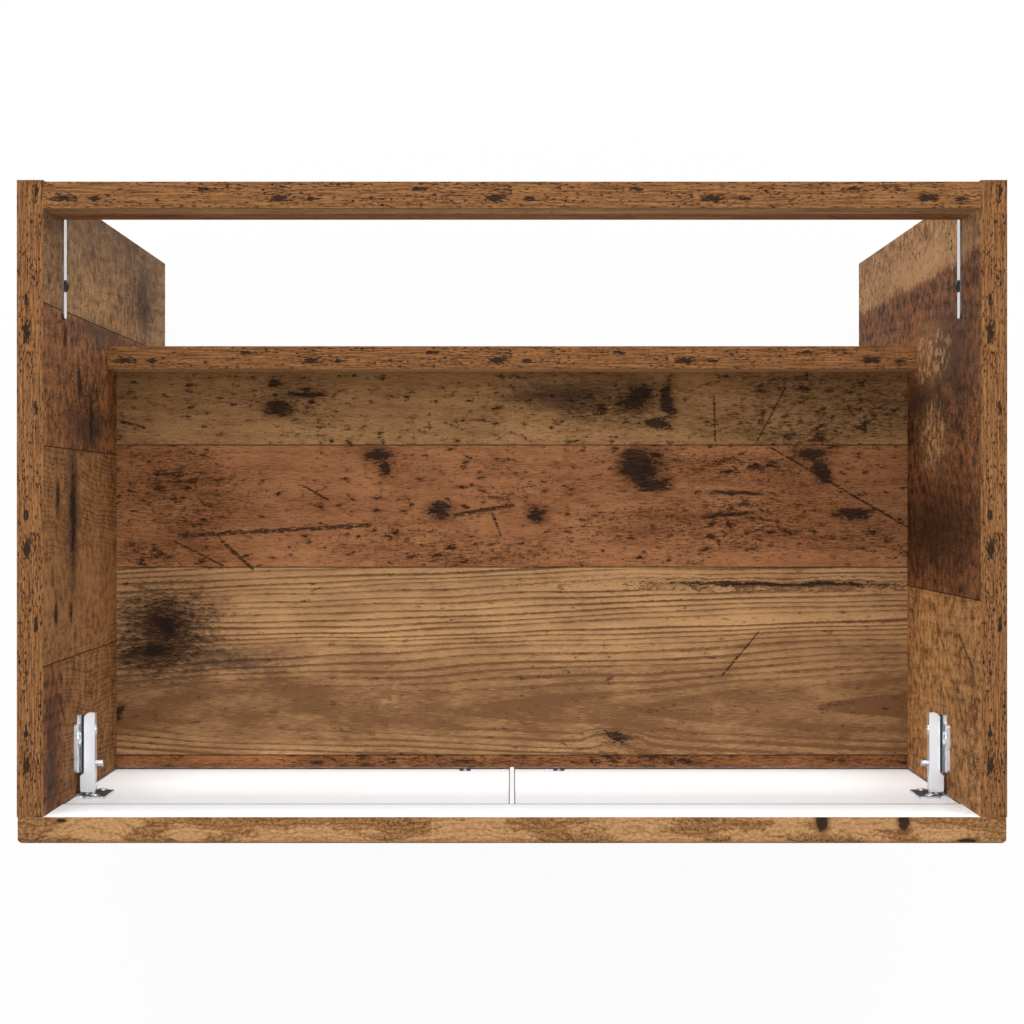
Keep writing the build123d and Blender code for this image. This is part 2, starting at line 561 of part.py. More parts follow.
        # Cup: a thin drawn cup with a flange and a screw tab, and two pins for the outer link
        with BuildPart() as cup:
            mouth = at_height(CUP_AXIS, hinge_z)
            rod(mouth, mouth - REARWARD * CUP_DEPTH, CUP_RADIUS)
            rod(mouth, mouth + REARWARD * FLANGE, CUP_RADIUS + FLANGE_LIP)
            tab_xs = (TAB_NEAR - OUTER_X, TAB_FAR - OUTER_X)
            tab_zs = (hinge_z - TAB_HEIGHT / 2, hinge_z + TAB_HEIGHT / 2)
            block(tab_xs, (DOOR_BACK_Y, DOOR_BACK_Y + TAB), tab_zs)
            tab_corners = cup.edges().filter_by(Axis.Y).group_by(Axis.Z)
            fillet(tab_corners[0] + tab_corners[-1], radius=TAB_CORNER_RADIUS)
            clear_xs = (-OUTER_X, -INNER_X + PANEL_ROOM)
            block(clear_xs, (DOOR_BACK_Y, DOOR_BACK_Y + CUP_RISE), tab_zs, Mode.SUBTRACT)
            top = mouth + REARWARD * CUP_RISE
            rod(top, mouth - REARWARD * (CUP_DEPTH - CUP_WALL), CUP_RADIUS - CUP_WALL, Mode.SUBTRACT)
            for offset in CUP_SCREW_OFFSETS:
                start = at_height(Vector(CUP_SCREW_INWARD - OUTER_X, DOOR_BACK_Y), hinge_z + offset)
                rod(start, start + REARWARD * TAB, CUP_SCREW_RADIUS + FIT, Mode.SUBTRACT)
            pin_aside = CUP_EDGE_DISTANCE - OUTER_CUP_PIVOT[0] + PIN_RADIUS
            pin_reach = (CUP_RADIUS ** 2 - pin_aside ** 2) ** 0.5
            for end in ENDS:
                pin_start = at_height(OUTER_CUP, hinge_z + end * pin_reach)
                pin_end = at_height(OUTER_CUP, hinge_z + end * OUTER_LINK_NEAR)
                rod(pin_start, pin_end, PIN_RADIUS)
            turn_to(side)
        save(cup.part, f"{prefix}_hinge_cup")

        # Outer link: two bowed side plates and the tie between them
        with BuildPart() as outer_link:
            for low in (-OUTER_LINK_FAR, OUTER_LINK_NEAR):
                with BuildSketch(Plane.XY.offset(hinge_z + low)):
                    link_outline(OUTER_ARM, OUTER_CUP, OUTER_BOW)
                    with Locations(OUTER_ARM, OUTER_CUP):
                        Circle(PIN_RADIUS + PIN_FIT, mode=Mode.SUBTRACT)
                extrude(amount=OUTER_LINK_FAR - OUTER_LINK_NEAR)
            with BuildLine(mode=Mode.PRIVATE) as outer_line:
                bowed_line(OUTER_ARM, OUTER_CUP, OUTER_BOW)
            tie = outer_line.wire().position_at(1 - LINK_TIE_REACH / outer_line.wire().length)
            tie_low = at_height(tie, hinge_z - OUTER_LINK_NEAR)
            rod(tie_low, at_height(tie, hinge_z + OUTER_LINK_NEAR), LINK_TIE_RADIUS)
            turn_to(side)
        save(outer_link.part, f"{prefix}_outer_link")

        # Inner link: forked round the arm's tongue, with its own short pin at the cup's end
        with BuildPart() as inner_link:
            with BuildSketch(Plane.XY.offset(hinge_z - INNER_LINK_HALF)):
                link_outline(INNER_ARM, INNER_CUP, INNER_BOW)
                with Locations(INNER_ARM):
                    Circle(PIN_RADIUS + PIN_FIT, mode=Mode.SUBTRACT)
            extrude(amount=2 * INNER_LINK_HALF)
            fork_low = at_height(INNER_ARM, hinge_z - TONGUE_HALF - LAYER_GAP)
            fork_high = at_height(INNER_ARM, hinge_z + TONGUE_HALF + LAYER_GAP)
            rod(fork_low, fork_high, TONGUE_RADIUS + 2 * LAYER_GAP + PIN_RADIUS, Mode.SUBTRACT)
            stub = INNER_LINK_HALF + LAYER_GAP
            rod(at_height(INNER_CUP, hinge_z - stub), at_height(INNER_CUP, hinge_z + stub), PIN_RADIUS)
            turn_to(side)
        save(inner_link.part, f"{prefix}_inner_link")

# Hinge screws: plates to the side panels, arms to the plates, and the side adjusters
with BuildPart() as plate_screws:
    for hinge_z in HINGE_HEIGHTS.values():
        for offset in PLATE_SCREW_OFFSETS:
            seat = at_height(on_arm(BOARD + WING_THICKNESS, PLATE_SCREW_BACK), hinge_z + offset)
            rod(seat, seat + Vector(PLATE_SCREW_HEAD, 0, 0), PLATE_SCREW_HEAD_RADIUS)
            rod(seat, seat - Vector(WING_THICKNESS + PLATE_SCREW_LENGTH, 0, 0), PLATE_SCREW_RADIUS)
    mirror(about=Plane.YZ)
save(plate_screws.part, "hinge_plate_screws")

with BuildPart() as arm_screws:
    for hinge_z in HINGE_HEIGHTS.values():
        seat = at_height(on_arm(ARM_TOP, ARM_SCREW_BACK), hinge_z)
        rod(seat, seat + Vector(ARM_SCREW_HEAD, 0, 0), ARM_SCREW_HEAD_RADIUS)
        rod(seat, at_height(on_arm(BOARD, ARM_SCREW_BACK), hinge_z), ARM_SCREW_RADIUS)
    mirror(about=Plane.YZ)
save(arm_screws.part, "hinge_arm_screws")

with BuildPart() as adjusters:
    for hinge_z in HINGE_HEIGHTS.values():
        foot = at_height(on_arm(ARM_BASE, ADJUSTER_BACK), hinge_z)
        rod(foot, at_height(on_arm(ADJUSTER_TOP, ADJUSTER_BACK), hinge_z), ADJUSTER_RADIUS)
    mirror(about=Plane.YZ)
save(adjusters.part, "hinge_side_adjusters")

for side in SIDES:
    with BuildPart() as cup_screws:
        for hinge_z in HINGE_HEIGHTS.values():
            for offset in CUP_SCREW_OFFSETS:
                seat_point = Vector(CUP_SCREW_INWARD - OUTER_X, DOOR_BACK_Y + TAB)
                seat = at_height(seat_point, hinge_z + offset)
                rod(seat, seat + REARWARD * CUP_SCREW_HEAD, CUP_SCREW_HEAD_RADIUS)
                rod(seat, seat - REARWARD * (TAB + CUP_SCREW_LENGTH), CUP_SCREW_RADIUS)
        turn_to(side)
    save(cup_screws.part, f"{side}_cup_screws")
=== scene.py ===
"""Looks of a bathroom vanity cabinet: aged plank boards, white backs, nickel hinges and zinc brackets."""

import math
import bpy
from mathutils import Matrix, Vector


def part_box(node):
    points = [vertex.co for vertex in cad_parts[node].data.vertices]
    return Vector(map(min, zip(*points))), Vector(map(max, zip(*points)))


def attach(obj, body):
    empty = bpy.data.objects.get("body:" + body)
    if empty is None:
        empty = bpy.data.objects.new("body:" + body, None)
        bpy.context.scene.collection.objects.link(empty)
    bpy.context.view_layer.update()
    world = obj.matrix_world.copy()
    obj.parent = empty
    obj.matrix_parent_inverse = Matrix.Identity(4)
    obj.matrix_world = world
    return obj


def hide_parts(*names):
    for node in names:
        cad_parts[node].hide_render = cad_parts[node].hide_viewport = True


bl_info = {
    "name": "Vanity Cabinet Finishes",
    "version": (1, 0, 0),
    "blender": (4, 5, 0),
    "location": "View3D > Sidebar > Vanity",
    "description": "Finishes a bathroom vanity cabinet's boards, fittings and screws and sets its stage",
    "category": "Object",
}

from collections import namedtuple

import bmesh
import bpy
import mathutils
import numpy as np
from bpy.props import FloatProperty, FloatVectorProperty, PointerProperty

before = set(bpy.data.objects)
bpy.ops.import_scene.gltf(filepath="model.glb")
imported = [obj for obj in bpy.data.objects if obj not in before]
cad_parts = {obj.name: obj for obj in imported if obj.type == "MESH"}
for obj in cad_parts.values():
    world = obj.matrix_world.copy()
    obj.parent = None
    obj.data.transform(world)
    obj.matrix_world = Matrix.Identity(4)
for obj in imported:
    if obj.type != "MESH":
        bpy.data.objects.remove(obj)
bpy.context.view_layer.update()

# Millimetres in a metre. The maps of the boards below are in millimetres, meshes and lamps in metres.
MILLIMETRES = 1000.0
AXES = "xyz"
SIDES = ("left", "right")
LEVELS = ("upper", "lower")


def tone(red, green, blue):
    """The linear colour of a display colour written from 0 to 255."""
    shares = np.array((red, green, blue)) / 255.0
    return tuple(np.where(shares <= 0.04045, shares / 12.92, ((shares + 0.055) / 1.055) ** 2.4))


def tint(name, description, *display):
    """A colour that a user may change."""
    return FloatVectorProperty(
        name=name, description=description, default=tone(*display), subtype="COLOR", size=3, min=0.0, max=1.0
    )


class PlankTones(bpy.types.PropertyGroup):
    """Printed wood colours, each as a light and a dark shade."""

    golden_light: tint("Golden, light", "Early wood of the golden pine planks", 189, 146, 101)
    golden_dark: tint("Golden, dark", "Late wood of the golden pine planks", 110, 78, 51)
    russet_light: tint("Russet, light", "Bare wood of the reddish planks", 183, 128, 87)
    russet_dark: tint("Russet, dark", "Weathered wood of the reddish planks", 112, 67, 40)
    rust_light: tint("Rust, light", "Bare wood of the streaky reddish planks", 172, 114, 72)
    rust_dark: tint("Rust, dark", "Weathered wood of the streaky reddish planks", 66, 42, 27)
    olive_light: tint("Olive, light", "Bare wood of the grey-brown planks", 186, 143, 97)
    olive_dark: tint("Olive, dark", "Weathered wood of the grey-brown planks", 112, 80, 52)
    umber_light: tint("Umber, light", "Worn wood of the dark planks", 156, 101, 64)
    umber_dark: tint("Umber, dark", "Stained wood of the dark planks", 44, 26, 15)
    amber_light: tint("Amber, light", "Bare wood of the orange-brown planks", 204, 149, 93)
    amber_dark: tint("Amber, dark", "Grain of the orange-brown planks", 108, 68, 38)
    tan_light: tint("Tan, light", "Bare wood of the dull brown planks", 162, 115, 73)
    tan_dark: tint("Tan, dark", "Grain of the dull brown planks", 88, 57, 33)
    honey_light: tint("Honey, light", "Bare wood of the palest planks and the fronts' edges", 205, 159, 110)
    honey_dark: tint("Honey, dark", "Grain of the palest planks and the fronts' edges", 122, 81, 46)
    band_light: tint("Edge band, light", "Bare wood of the boards' edge band", 162, 113, 71)
    band_dark: tint("Edge band, dark", "Grain of the boards' edge band", 88, 56, 32)
    stain: tint("Stains", "Old damp stains around the knots", 62, 46, 40)
    scar: tint("Scars", "Pits, knots, cracks and seams", 36, 29, 26)


class FittingTones(bpy.types.PropertyGroup):
    """Colours of what isn't printed board."""

    white_back: tint("White back", "Back of the doors and the fascia", 249, 252, 254)
    # Painted shadow: a grey line on the white backs, standing for the shadowed gaps between the fascia and the
    # doors and between the two doors.
    shadow_grey: tint("Back line", "Edge of the white backs where they meet", 140, 141, 144)
    nickel: tint("Nickel", "Plating of the hinges", 236, 240, 245)
    cup: tint("Cup nickel", "Plating of the hinge cups", 205, 206, 208)
    # Painted shade: a dark, dull colour laid on the hinge plates' necks, where the arms shade them, and on the
    # cups' faces that look to the dark back of the cabinet.
    painted_shade: tint("Shade", "Dark film on the hinge plates' necks and on the cups", 46, 48, 52)
    zinc: tint("Zinc", "Plating of the wall brackets and bolts", 162, 161, 163)
    cast: tint("Cast zinc", "Cam locks", 176, 178, 182)
    black: tint("Black screw", "Coating of the bracket screws", 24, 24, 26)
    steel: tint("Steel screw", "Knob screws", 120, 120, 124)
    satin: tint("Satin nickel", "Knobs", 202, 198, 190)
    beech: tint("Beech", "Dowels", 206, 170, 128)
    plastic: tint("Grey plastic", "Floor glides", 74, 74, 76)


class StageSizes(bpy.types.PropertyGroup):
    """Camera, lamps and floor."""

    eye_height: FloatProperty(
        name="Eye height", description="Camera above the floor", default=3.0676, unit="LENGTH"
    )
    eye_back: FloatProperty(
        name="Eye setback", description="Camera behind the cabinet's middle", default=0.0181, unit="LENGTH"
    )
    lens: FloatProperty(
        name="Lens", description="Focal length on a 36 mm sensor", default=131.6, unit="CAMERA"
    )
    rise: FloatProperty(name="Rise", description="Vertical shift of the picture", default=-0.0093)
    overhead_lamp: FloatProperty(
        name="Overhead lamp", description="Power of the lamp above the cabinet", default=88.0, unit="POWER"
    )
    rear_lamp: FloatProperty(
        name="Rear lamp", description="Power of the lamp behind the open back", default=118.0, unit="POWER"
    )
    front_lamp: FloatProperty(
        name="Front lamps", description="Power of each lamp in front", default=20.0, unit="POWER"
    )
    sky: FloatProperty(name="Sky", description="Strength of the even light all round", default=0.3)
    floor_width: FloatProperty(name="Floor", description="Width of the floor", default=16.0, unit="LENGTH")
    floor_shade: FloatProperty(
        name="Floor shade",
        description="Share of the floor's white that takes shadows",
        default=0.05,
        subtype="FACTOR",
    )


class Socket:
    """One output of a node. Arithmetic on it adds Math nodes to its finish."""

    def __init__(self, finish, output):
        self.finish = finish
        self.output = output

    def math(self, operation, *others):
        return self.finish.math(operation, self, *others)

    def __add__(self, other):
        return self.math("ADD", other)

    __radd__ = __add__

    def __sub__(self, other):
        return self.math("SUBTRACT", other)

    def __rsub__(self, other):
        return self.finish.math("SUBTRACT", other, self)

    def __mul__(self, other):
        return self.math("MULTIPLY", other)

    __rmul__ = __mul__

    def __truediv__(self, other):
        return self.math("DIVIDE", other)

    def __abs__(self):
        return self.math("ABSOLUTE")

    def __gt__(self, other):
        return self.math("GREATER_THAN", other)

    def __lt__(self, other):
        return self.math("LESS_THAN", other)


class Finish:
    """The nodes of a material, or of the world."""

    def __init__(self, owner):
        owner.use_nodes = True
        self.owner = owner
        self.tree = owner.node_tree
        self.tree.nodes.clear()

    @staticmethod
    def pick(sockets, key):
        """A socket by its number, its identifier or its name."""
        if isinstance(key, int):
            return sockets[key]
        return next((socket for socket in sockets if socket.identifier == key), None) or sockets[key]

    def node(self, kind, settings, sockets, output=0):
        """Adds a node: its settings come first, then the values or links of its sockets."""
        made = self.tree.nodes.new(kind)
        for key, value in settings.items():
            setattr(made, key, value)
        for key, value in sockets.items():
            entry = self.pick(made.inputs, key)
            if isinstance(value, Socket):
                self.tree.links.new(value.output, entry)
            else:
                entry.default_value = value
        return Socket(self, self.pick(made.outputs, output)) if made.outputs else None

    def math(self, operation, *values):
        return self.node("ShaderNodeMath", {"operation": operation}, dict(enumerate(values)))

    def vector(self, x, y, z=0.0):
        return self.node("ShaderNodeCombineXYZ", {}, {0: x, 1: y, 2: z})

    def length(self, vector):
        return self.node("ShaderNodeVectorMath", {"operation": "LENGTH"}, {0: vector}, "Value")

    def place(self, output="Object"):
        """The surface's own coordinates, or its own normal, as three values."""
        whole = self.node("ShaderNodeTexCoord", {}, {}, output)
        return [self.node("ShaderNodeSeparateXYZ", {}, {0: whole}, axis) for axis in range(3)]

    def place_mm(self):
        return [value * MILLIMETRES for value in self.place()]

    def noise(self, x, y, grain):
        """Soft noise from 0 to 1, with cells as long and as wide as the grain says."""
        cells = self.vector(x / grain.length, y / grain.width)
        sockets = {"Vector": cells, "Scale": 1.0, "Detail": grain.detail, "Roughness": grain.harshness}
        return self.node("ShaderNodeTexNoise", {"noise_dimensions": "2D"}, sockets)

    def swing(self, x, y, grain):
        """The same noise about 0."""
        return self.noise(x, y, grain) - 0.5

    def most(self, first, *others):
        """The highest of some values."""
        for other in others:
            first = self.math("MAXIMUM", first, other)
        return first

    def smooth(self, value, low, high):
        """0 below low, 1 above high and an S-curve between them."""
        settings = {"interpolation_type": "SMOOTHSTEP"}
        sockets = {"Value": value, "From Min": low, "From Max": high}
        return self.node("ShaderNodeMapRange", settings, sockets)

    def blend(self, share, first, second):
        """A value between two values."""
        return self.node("ShaderNodeMix", {"data_type": "FLOAT"}, {0: share, 2: first, 3: second})

    def colour(self, share, first, second):
        """A colour between two colours."""
        ends = [end if isinstance(end, Socket) else (*end, 1.0) for end in (first, second)]
        settings = {"data_type": "RGBA", "blend_type": "MIX", "clamp_factor": True}
        return self.node("ShaderNodeMix", settings, {0: share, 6: ends[0], 7: ends[1]}, 2)

    def choose(self, masks, values, mix):
        """The first value, with each later one laid over it where its mask is 1."""
        chosen = values[0]
        for mask, value in zip(masks, values[1:]):
            if isinstance(chosen, Socket) or chosen != value:
                chosen = mix(mask, chosen, value)
        return chosen

    def bump(self, height, depth):
        """A normal from a height, whose full range is as deep as given, in millimetres."""
        sockets = {"Height": height, "Distance": depth / MILLIMETRES, "Strength": 1.0}
        return self.node("ShaderNodeBump", {}, sockets)

    def surface(self, sockets):
        """Ends the material in one Principled shader."""
        shader = self.node("ShaderNodeBsdfPrincipled", {}, sockets)
        self.node("ShaderNodeOutputMaterial", {}, {"Surface": shader})
        return self.owner


# Cells of a noise: length and width in millimetres, number of finer layers and their strength. Those of
# RING_STRENGTH lie across the rings and along the grain.
Grain = namedtuple("Grain", "length width detail harshness", defaults=(2.0, 0.5))
WANDER = Grain(260.0, 75.0)
RAGGED = Grain(10.5, 4.6, 5.0, 0.7)
FADE = Grain(75.0, 20.0)
FIBRE = Grain(9.0, 0.6, 3.0, 0.65)
MOTTLE = Grain(62.0, 24.0, 4.0, 0.62)
SPECK = Grain(3.8, 1.3, 4.0, 0.68)
CLOUD = Grain(17.0, 8.0, 4.0, 0.62)
RING_STRENGTH = Grain(11.0, 420.0)
BORDER_WEAR = Grain(11.0, 22.0, 4.0, 0.6)
BAND_STREAK = Grain(24.0, 1.2, 4.0, 0.65)
BAND_DASH = Grain(3.8, 1.0, 4.0, 0.68)
BAND_GATE = Grain(30.0, 7.0)
EDGE_ARCS = Grain(46.0, 15.0, 3.0, 0.45)
EDGE_MEAL = Grain(2.6, 1.7, 4.0, 0.72)
EDGE_GRIT = Grain(1.9, 1.3, 3.0, 0.65)
BACK_MIST = Grain(1.6, 1.6, 3.0, 0.7)
DRAW_LINES = Grain(12.0, 0.35, 3.0, 0.6)
PLATING_CLOUD = Grain(9.0, 7.0, 4.0, 0.6)
COATING_STREAK = Grain(9.0, 0.9, 4.0, 0.6)

# Kinds of plank: spacing in millimetres and depth of the growth lines, share of chips, depth of the fibres,
# and how much darker the wood is along its heart line, or lighter below 0. On the golden planks this darkening
# is partly painted shade, as on the shelf, whose golden heart line lies towards the front.
Kind = namedtuple("Kind", "gap depth chips fibre heartwood", defaults=(0.0,))
KINDS = {
    # The golden planks' darker heart line is partly painted shade, for the shadow towards the shelf's front.
    "golden": Kind(gap=4.3, depth=0.62, chips=-0.30, fibre=1.0, heartwood=0.50),
    "russet": Kind(gap=9.0, depth=0.10, chips=0.65, fibre=1.5),
    "rust": Kind(gap=9.0, depth=0.10, chips=0.55, fibre=1.5),
    "olive": Kind(gap=8.0, depth=0.12, chips=0.60, fibre=1.4),
    "umber": Kind(gap=9.0, depth=0.14, chips=0.30, fibre=1.3),
    "amber": Kind(gap=6.0, depth=0.13, chips=0.35, fibre=1.1),
    "tan": Kind(gap=3.2, depth=0.34, chips=0.0, fibre=1.2, heartwood=-0.16),
    "honey": Kind(gap=6.0, depth=0.20, chips=0.75, fibre=1.1),
}

# A plank of a board, in millimetres: where it starts across the board, how far its print is slid along the
# grain, the heart line of its rings, their taper, how ragged its border is, and for a short plank the place
# above which it lies
Plank = namedtuple("Plank", "start kind slide heart taper ragged above", defaults=(0.02, 0.0, None))
# A spot of half a length and half a width about its middle, and a straight scratch, in millimetres
Knot = namedtuple("Knot", "along across length width")
Scratch = namedtuple("Scratch", "start end width")
# A board: the axes along and across its grain, the sign of its seen face, and its planks. Knots are dark and
# sharp, clusters hold more chips, stains and burns are soft, and worn spots are pale. Cloud is the strength
# of its dark and light patches, bare that of its worn spots.
Board = namedtuple(
    "Board",
    "grain across face planks knots clusters stains burns worn scratches cloud bare",
    defaults=((), (), (), (), (), (), 0.0, 0.8),
)

# How deep the heart of the trunk lies under a plank's face, in millimetres
HEART_DEPTH = 20.0
# Half of the width of the seam between two planks, in millimetres
SEAM = 0.4
# Length of the edge band's repeated print, a shift that keeps places along it above 0, and the stains of one
# length, in millimetres
BAND_REPEAT = 131.0
BAND_SHIFT = 4000.0
BAND_STAINS = (Knot(60.0, -2.0, 8.0, 2.6), Knot(80.0, -2.4, 4.5, 1.7), Knot(14.0, 3.6, 5.0, 1.4))
# Spacing of the arcs in the fronts' pale edge, and a shift that sets its pits apart from its meal, in
# millimetres
EDGE_ARC_GAP = 5.0
GRIT_SHIFT = 57.0
# Share of the clouds and worn spots that the hidden face of a board lacks
HIDDEN_CALM = 0.7
# Distances in millimetres: of a hinge plate's neck, which gets painted shade, from the cabinet's middle, of
# the top of the fascia's grey line of painted shadow from the floor, and of the reach of the doors' grey lines
# of painted shadow from the middle
PLATE_NECK = (278.5, 281.7)
FASCIA_SHADOW_TOP = 703.5
DOOR_SHADOW_REACH = 2.2
# Share of a normal along an axis, above which a face counts as turned that way
FACING = 0.5
TOP_FACING = 0.6
FRONT_FACING = 0.75
# Gloss of the printed boards, and depths of the relief of boards, metal and coatings, in millimetres
BOARD_GLOSS = 0.03
BOARD_RELIEF = 0.12
METAL_RELIEF = 0.02
COATING_RELIEF = 0.05
# Distance in metres at which the corners of a pole are drawn to one point
POLE_REACH = 1e-7
# Farther than any knot or scratch reaches, in its own lengths
FAR = 9.0

SHELF = Board(
    grain="x",
    across="y",
    face=1,
    planks=(
        Plank(-172.0, "rust", 900.0, -300.0),
        # Its heart line lies towards the front, so its darker heart is also painted shade there.
        Plank(-163.3, "golden", 0.0, -130.0, 0.035),
        Plank(-28.3, "russet", 2600.0, 160.0),
        Plank(59.4, "olive", 4100.0, 220.0),
    ),
    knots=(
        Knot(-247.0, -70.0, 6.0, 9.0),
        Knot(-258.0, -88.0, 7.0, 3.0),
        Knot(-281.5, -132.0, 3.2, 4.0),
        Knot(74.0, -150.0, 9.0, 4.5),
        Knot(192.0, -40.2, 66.0, 1.7),
        Knot(-98.0, 53.0, 9.0, 5.0),
        Knot(-91.0, 44.0, 4.0, 6.0),
        Knot(-52.0, 13.0, 8.0, 5.0),
        Knot(17.0, 10.5, 6.0, 5.5),
        Knot(92.0, 43.0, 12.0, 12.0),
        Knot(101.0, 31.0, 10.0, 5.0),
        Knot(160.0, 23.5, 18.0, 1.3),
        Knot(155.0, 8.0, 16.0, 1.3),
        Knot(243.0, 9.0, 14.0, 4.0),
        Knot(214.0, 52.0, 11.0, 4.5),
        Knot(223.0, 41.0, 6.0, 8.0),
        Knot(112.0, 90.0, 4.5, 14.0),
        Knot(104.0, 74.0, 9.0, 3.5),
        Knot(92.0, 95.0, 10.0, 9.0),
        Knot(-168.0, 85.0, 9.0, 5.0),
        Knot(-148.0, 96.0, 13.0, 2.2),
        Knot(-172.0, 103.0, 5.0, 3.5),
    ),
    clusters=(
        Knot(70.0, 92.0, 55.0, 22.0),
        Knot(215.0, 84.0, 90.0, 34.0),
        Knot(-160.0, 93.0, 34.0, 18.0),
        Knot(98.0, 44.0, 26.0, 20.0),
        Knot(160.0, 42.0, 60.0, 13.0),
        Knot(180.0, 5.0, 110.0, 26.0),
        Knot(-30.0, -16.0, 90.0, 13.0),
        Knot(-235.0, 20.0, 50.0, 36.0),
        Knot(-262.0, -20.0, 24.0, 11.0),
        Knot(60.0, -168.0, 330.0, 9.0),
    ),
    stains=(
        Knot(-246.0, -78.0, 34.0, 30.0),
        Knot(-206.0, -96.0, 44.0, 9.0),
        Knot(38.0, 95.0, 30.0, 10.0),
    ),
    burns=(Knot(-252.0, -71.0, 32.0, 25.0), Knot(-256.0, -90.0, 36.0, 10.0)),
    worn=(Knot(-89.0, -116.0, 7.0, 16.0),),
    scratches=(
        Scratch((151.0, -106.0), (177.0, -75.0), 0.8),
        Scratch((-238.0, -6.0), (-102.0, 2.0), 1.7),
        Scratch((-41.0, 9.0), (0.0, 16.0), 1.7),
        Scratch((-14.0, 10.0), (-8.0, -6.0), 1.0),
        Scratch((185.0, 58.0), (284.0, 0.5), 1.0),
        Scratch((-242.0, -10.0), (-208.0, -27.0), 0.8),
        Scratch((-208.0, -10.0), (-186.0, -30.0), 1.4),
        Scratch((145.0, 96.0), (146.0, 62.0), 0.8),
        Scratch((196.0, 100.0), (176.0, 62.0), 0.7),
        Scratch((-150.0, 30.0), (-132.0, 20.0), 1.0),
        Scratch((-280.0, 76.0), (-264.0, 72.0), 1.2),
    ),
    bare=0.3,
)

LEFT_SIDE = Board(
    grain="z",
    across="y",
    face=1,
    planks=(
        Plank(-172.5, "tan", 300.0, -300.0),
        Plank(-172.5, "umber", 700.0, -300.0, 0.02, 0.0, 702.0),
        Plank(-81.5, "tan", 1500.0, -40.0, 0.03),
        Plank(52.5, "rust", 3300.0, 260.0),
        Plank(139.4, "olive", 5200.0, 330.0),
    ),
    knots=(
        Knot(646.0, 8.0, 13.0, 30.0),
        Knot(728.0, 22.0, 7.0, 8.0),
        Knot(735.0, -52.0, 8.0, 8.0),
        Knot(655.0, -54.0, 7.0, 7.0),
        Knot(690.0, 122.0, 10.0, 7.0),
        Knot(610.0, 96.0, 9.0, 10.0),
        Knot(540.0, 74.0, 10.0, 14.0),
    ),
    clusters=(Knot(560.0, 85.0, 160.0, 30.0), Knot(200.0, 170.0, 160.0, 24.0)),
    stains=(
        Knot(646.0, 8.0, 30.0, 44.0),
        Knot(560.0, 66.0, 110.0, 12.0),
        Knot(180.0, 178.0, 50.0, 30.0),
        Knot(470.0, 132.0, 150.0, 9.0),
        Knot(760.0, -140.0, 30.0, 40.0),
        Knot(500.0, 252.0, 600.0, 62.0),
    ),
    scratches=(Scratch((690.0, -120.0), (730.0, -100.0), 1.2),),
    cloud=2.2,
)

RIGHT_SIDE = Board(
    grain="z",
    across="y",
    face=-1,
    planks=(
        Plank(-172.5, "amber", 6100.0, -420.0),
        Plank(-41.5, "umber", 7400.0, 200.0),
        Plank(49.5, "rust", 7400.0, 200.0, 0.02, 50.0),
        Plank(147.0, "umber", 7400.0, 200.0, 0.02, 30.0),
        Plank(171.0, "honey", 7400.0, 200.0, 0.02, 7.0),
    ),
    clusters=(Knot(560.0, 70.0, 260.0, 34.0), Knot(760.0, -110.0, 40.0, 60.0)),
    stains=(Knot(640.0, 112.0, 120.0, 34.0), Knot(470.0, 90.0, 70.0, 22.0)),
    burns=(Knot(560.0, 0.0, 260.0, 34.0),),
    worn=(Knot(543.0, 63.0, 70.0, 22.0), Knot(520.0, 118.0, 110.0, 18.0), Knot(420.0, 184.0, 260.0, 12.0)),
    scratches=(Scratch((790.0, -150.0), (560.0, -60.0), 0.8), Scratch((760.0, -84.0), (690.0, -66.0), 1.6)),
    cloud=2.4,
)

REAR_RAIL = Board(
    grain="x",
    across="z",
    face=-1,
    planks=(Plank(700.0, "umber", 9100.0, 500.0), Plank(752.0, "olive", 9900.0, 900.0)),
    stains=(Knot(0.0, 850.0, 900.0, 62.0),),
)

SHELF_RAIL = Board(
    grain="x",
    across="z",
    face=-1,
    planks=(Plank(360.0, "olive", 10700.0, 200.0), Plank(404.0, "golden", 11500.0, 470.0)),
)

BOTTOM = Board(
    grain="x",
    across="y",
    face=1,
    planks=(
        Plank(-172.0, "olive", 12100.0, -300.0),
        Plank(-96.0, "golden", 13300.0, -50.0, 0.04),
        Plank(12.0, "russet", 14100.0, 200.0),
    ),
    knots=(Knot(150.0, -40.0, 10.0, 7.0), Knot(-180.0, 60.0, 12.0, 5.0)),
    clusters=(Knot(150.0, -40.0, 40.0, 22.0), Knot(-180.0, 60.0, 60.0, 26.0)),
)

PLINTH = Board(
    grain="x",
    across="z",
    face=-1,
    planks=(Plank(0.0, "umber", 15100.0, -200.0), Plank(47.0, "russet", 16100.0, 250.0)),
)

FASCIA = Board(
    grain="x",
    across="z",
    face=-1,
    planks=(Plank(690.0, "russet", 17300.0, 560.0), Plank(748.0, "golden", 18100.0, 778.0, 0.03)),
    knots=(Knot(-210.0, 722.0, 10.0, 7.0), Knot(170.0, 770.0, 12.0, 6.0)),
    clusters=(Knot(-210.0, 722.0, 60.0, 18.0), Knot(120.0, 718.0, 110.0, 20.0)),
    scratches=(Scratch((-90.0, 770.0), (40.0, 763.0), 1.2), Scratch((60.0, 716.0), (140.0, 728.0), 1.2)),
)

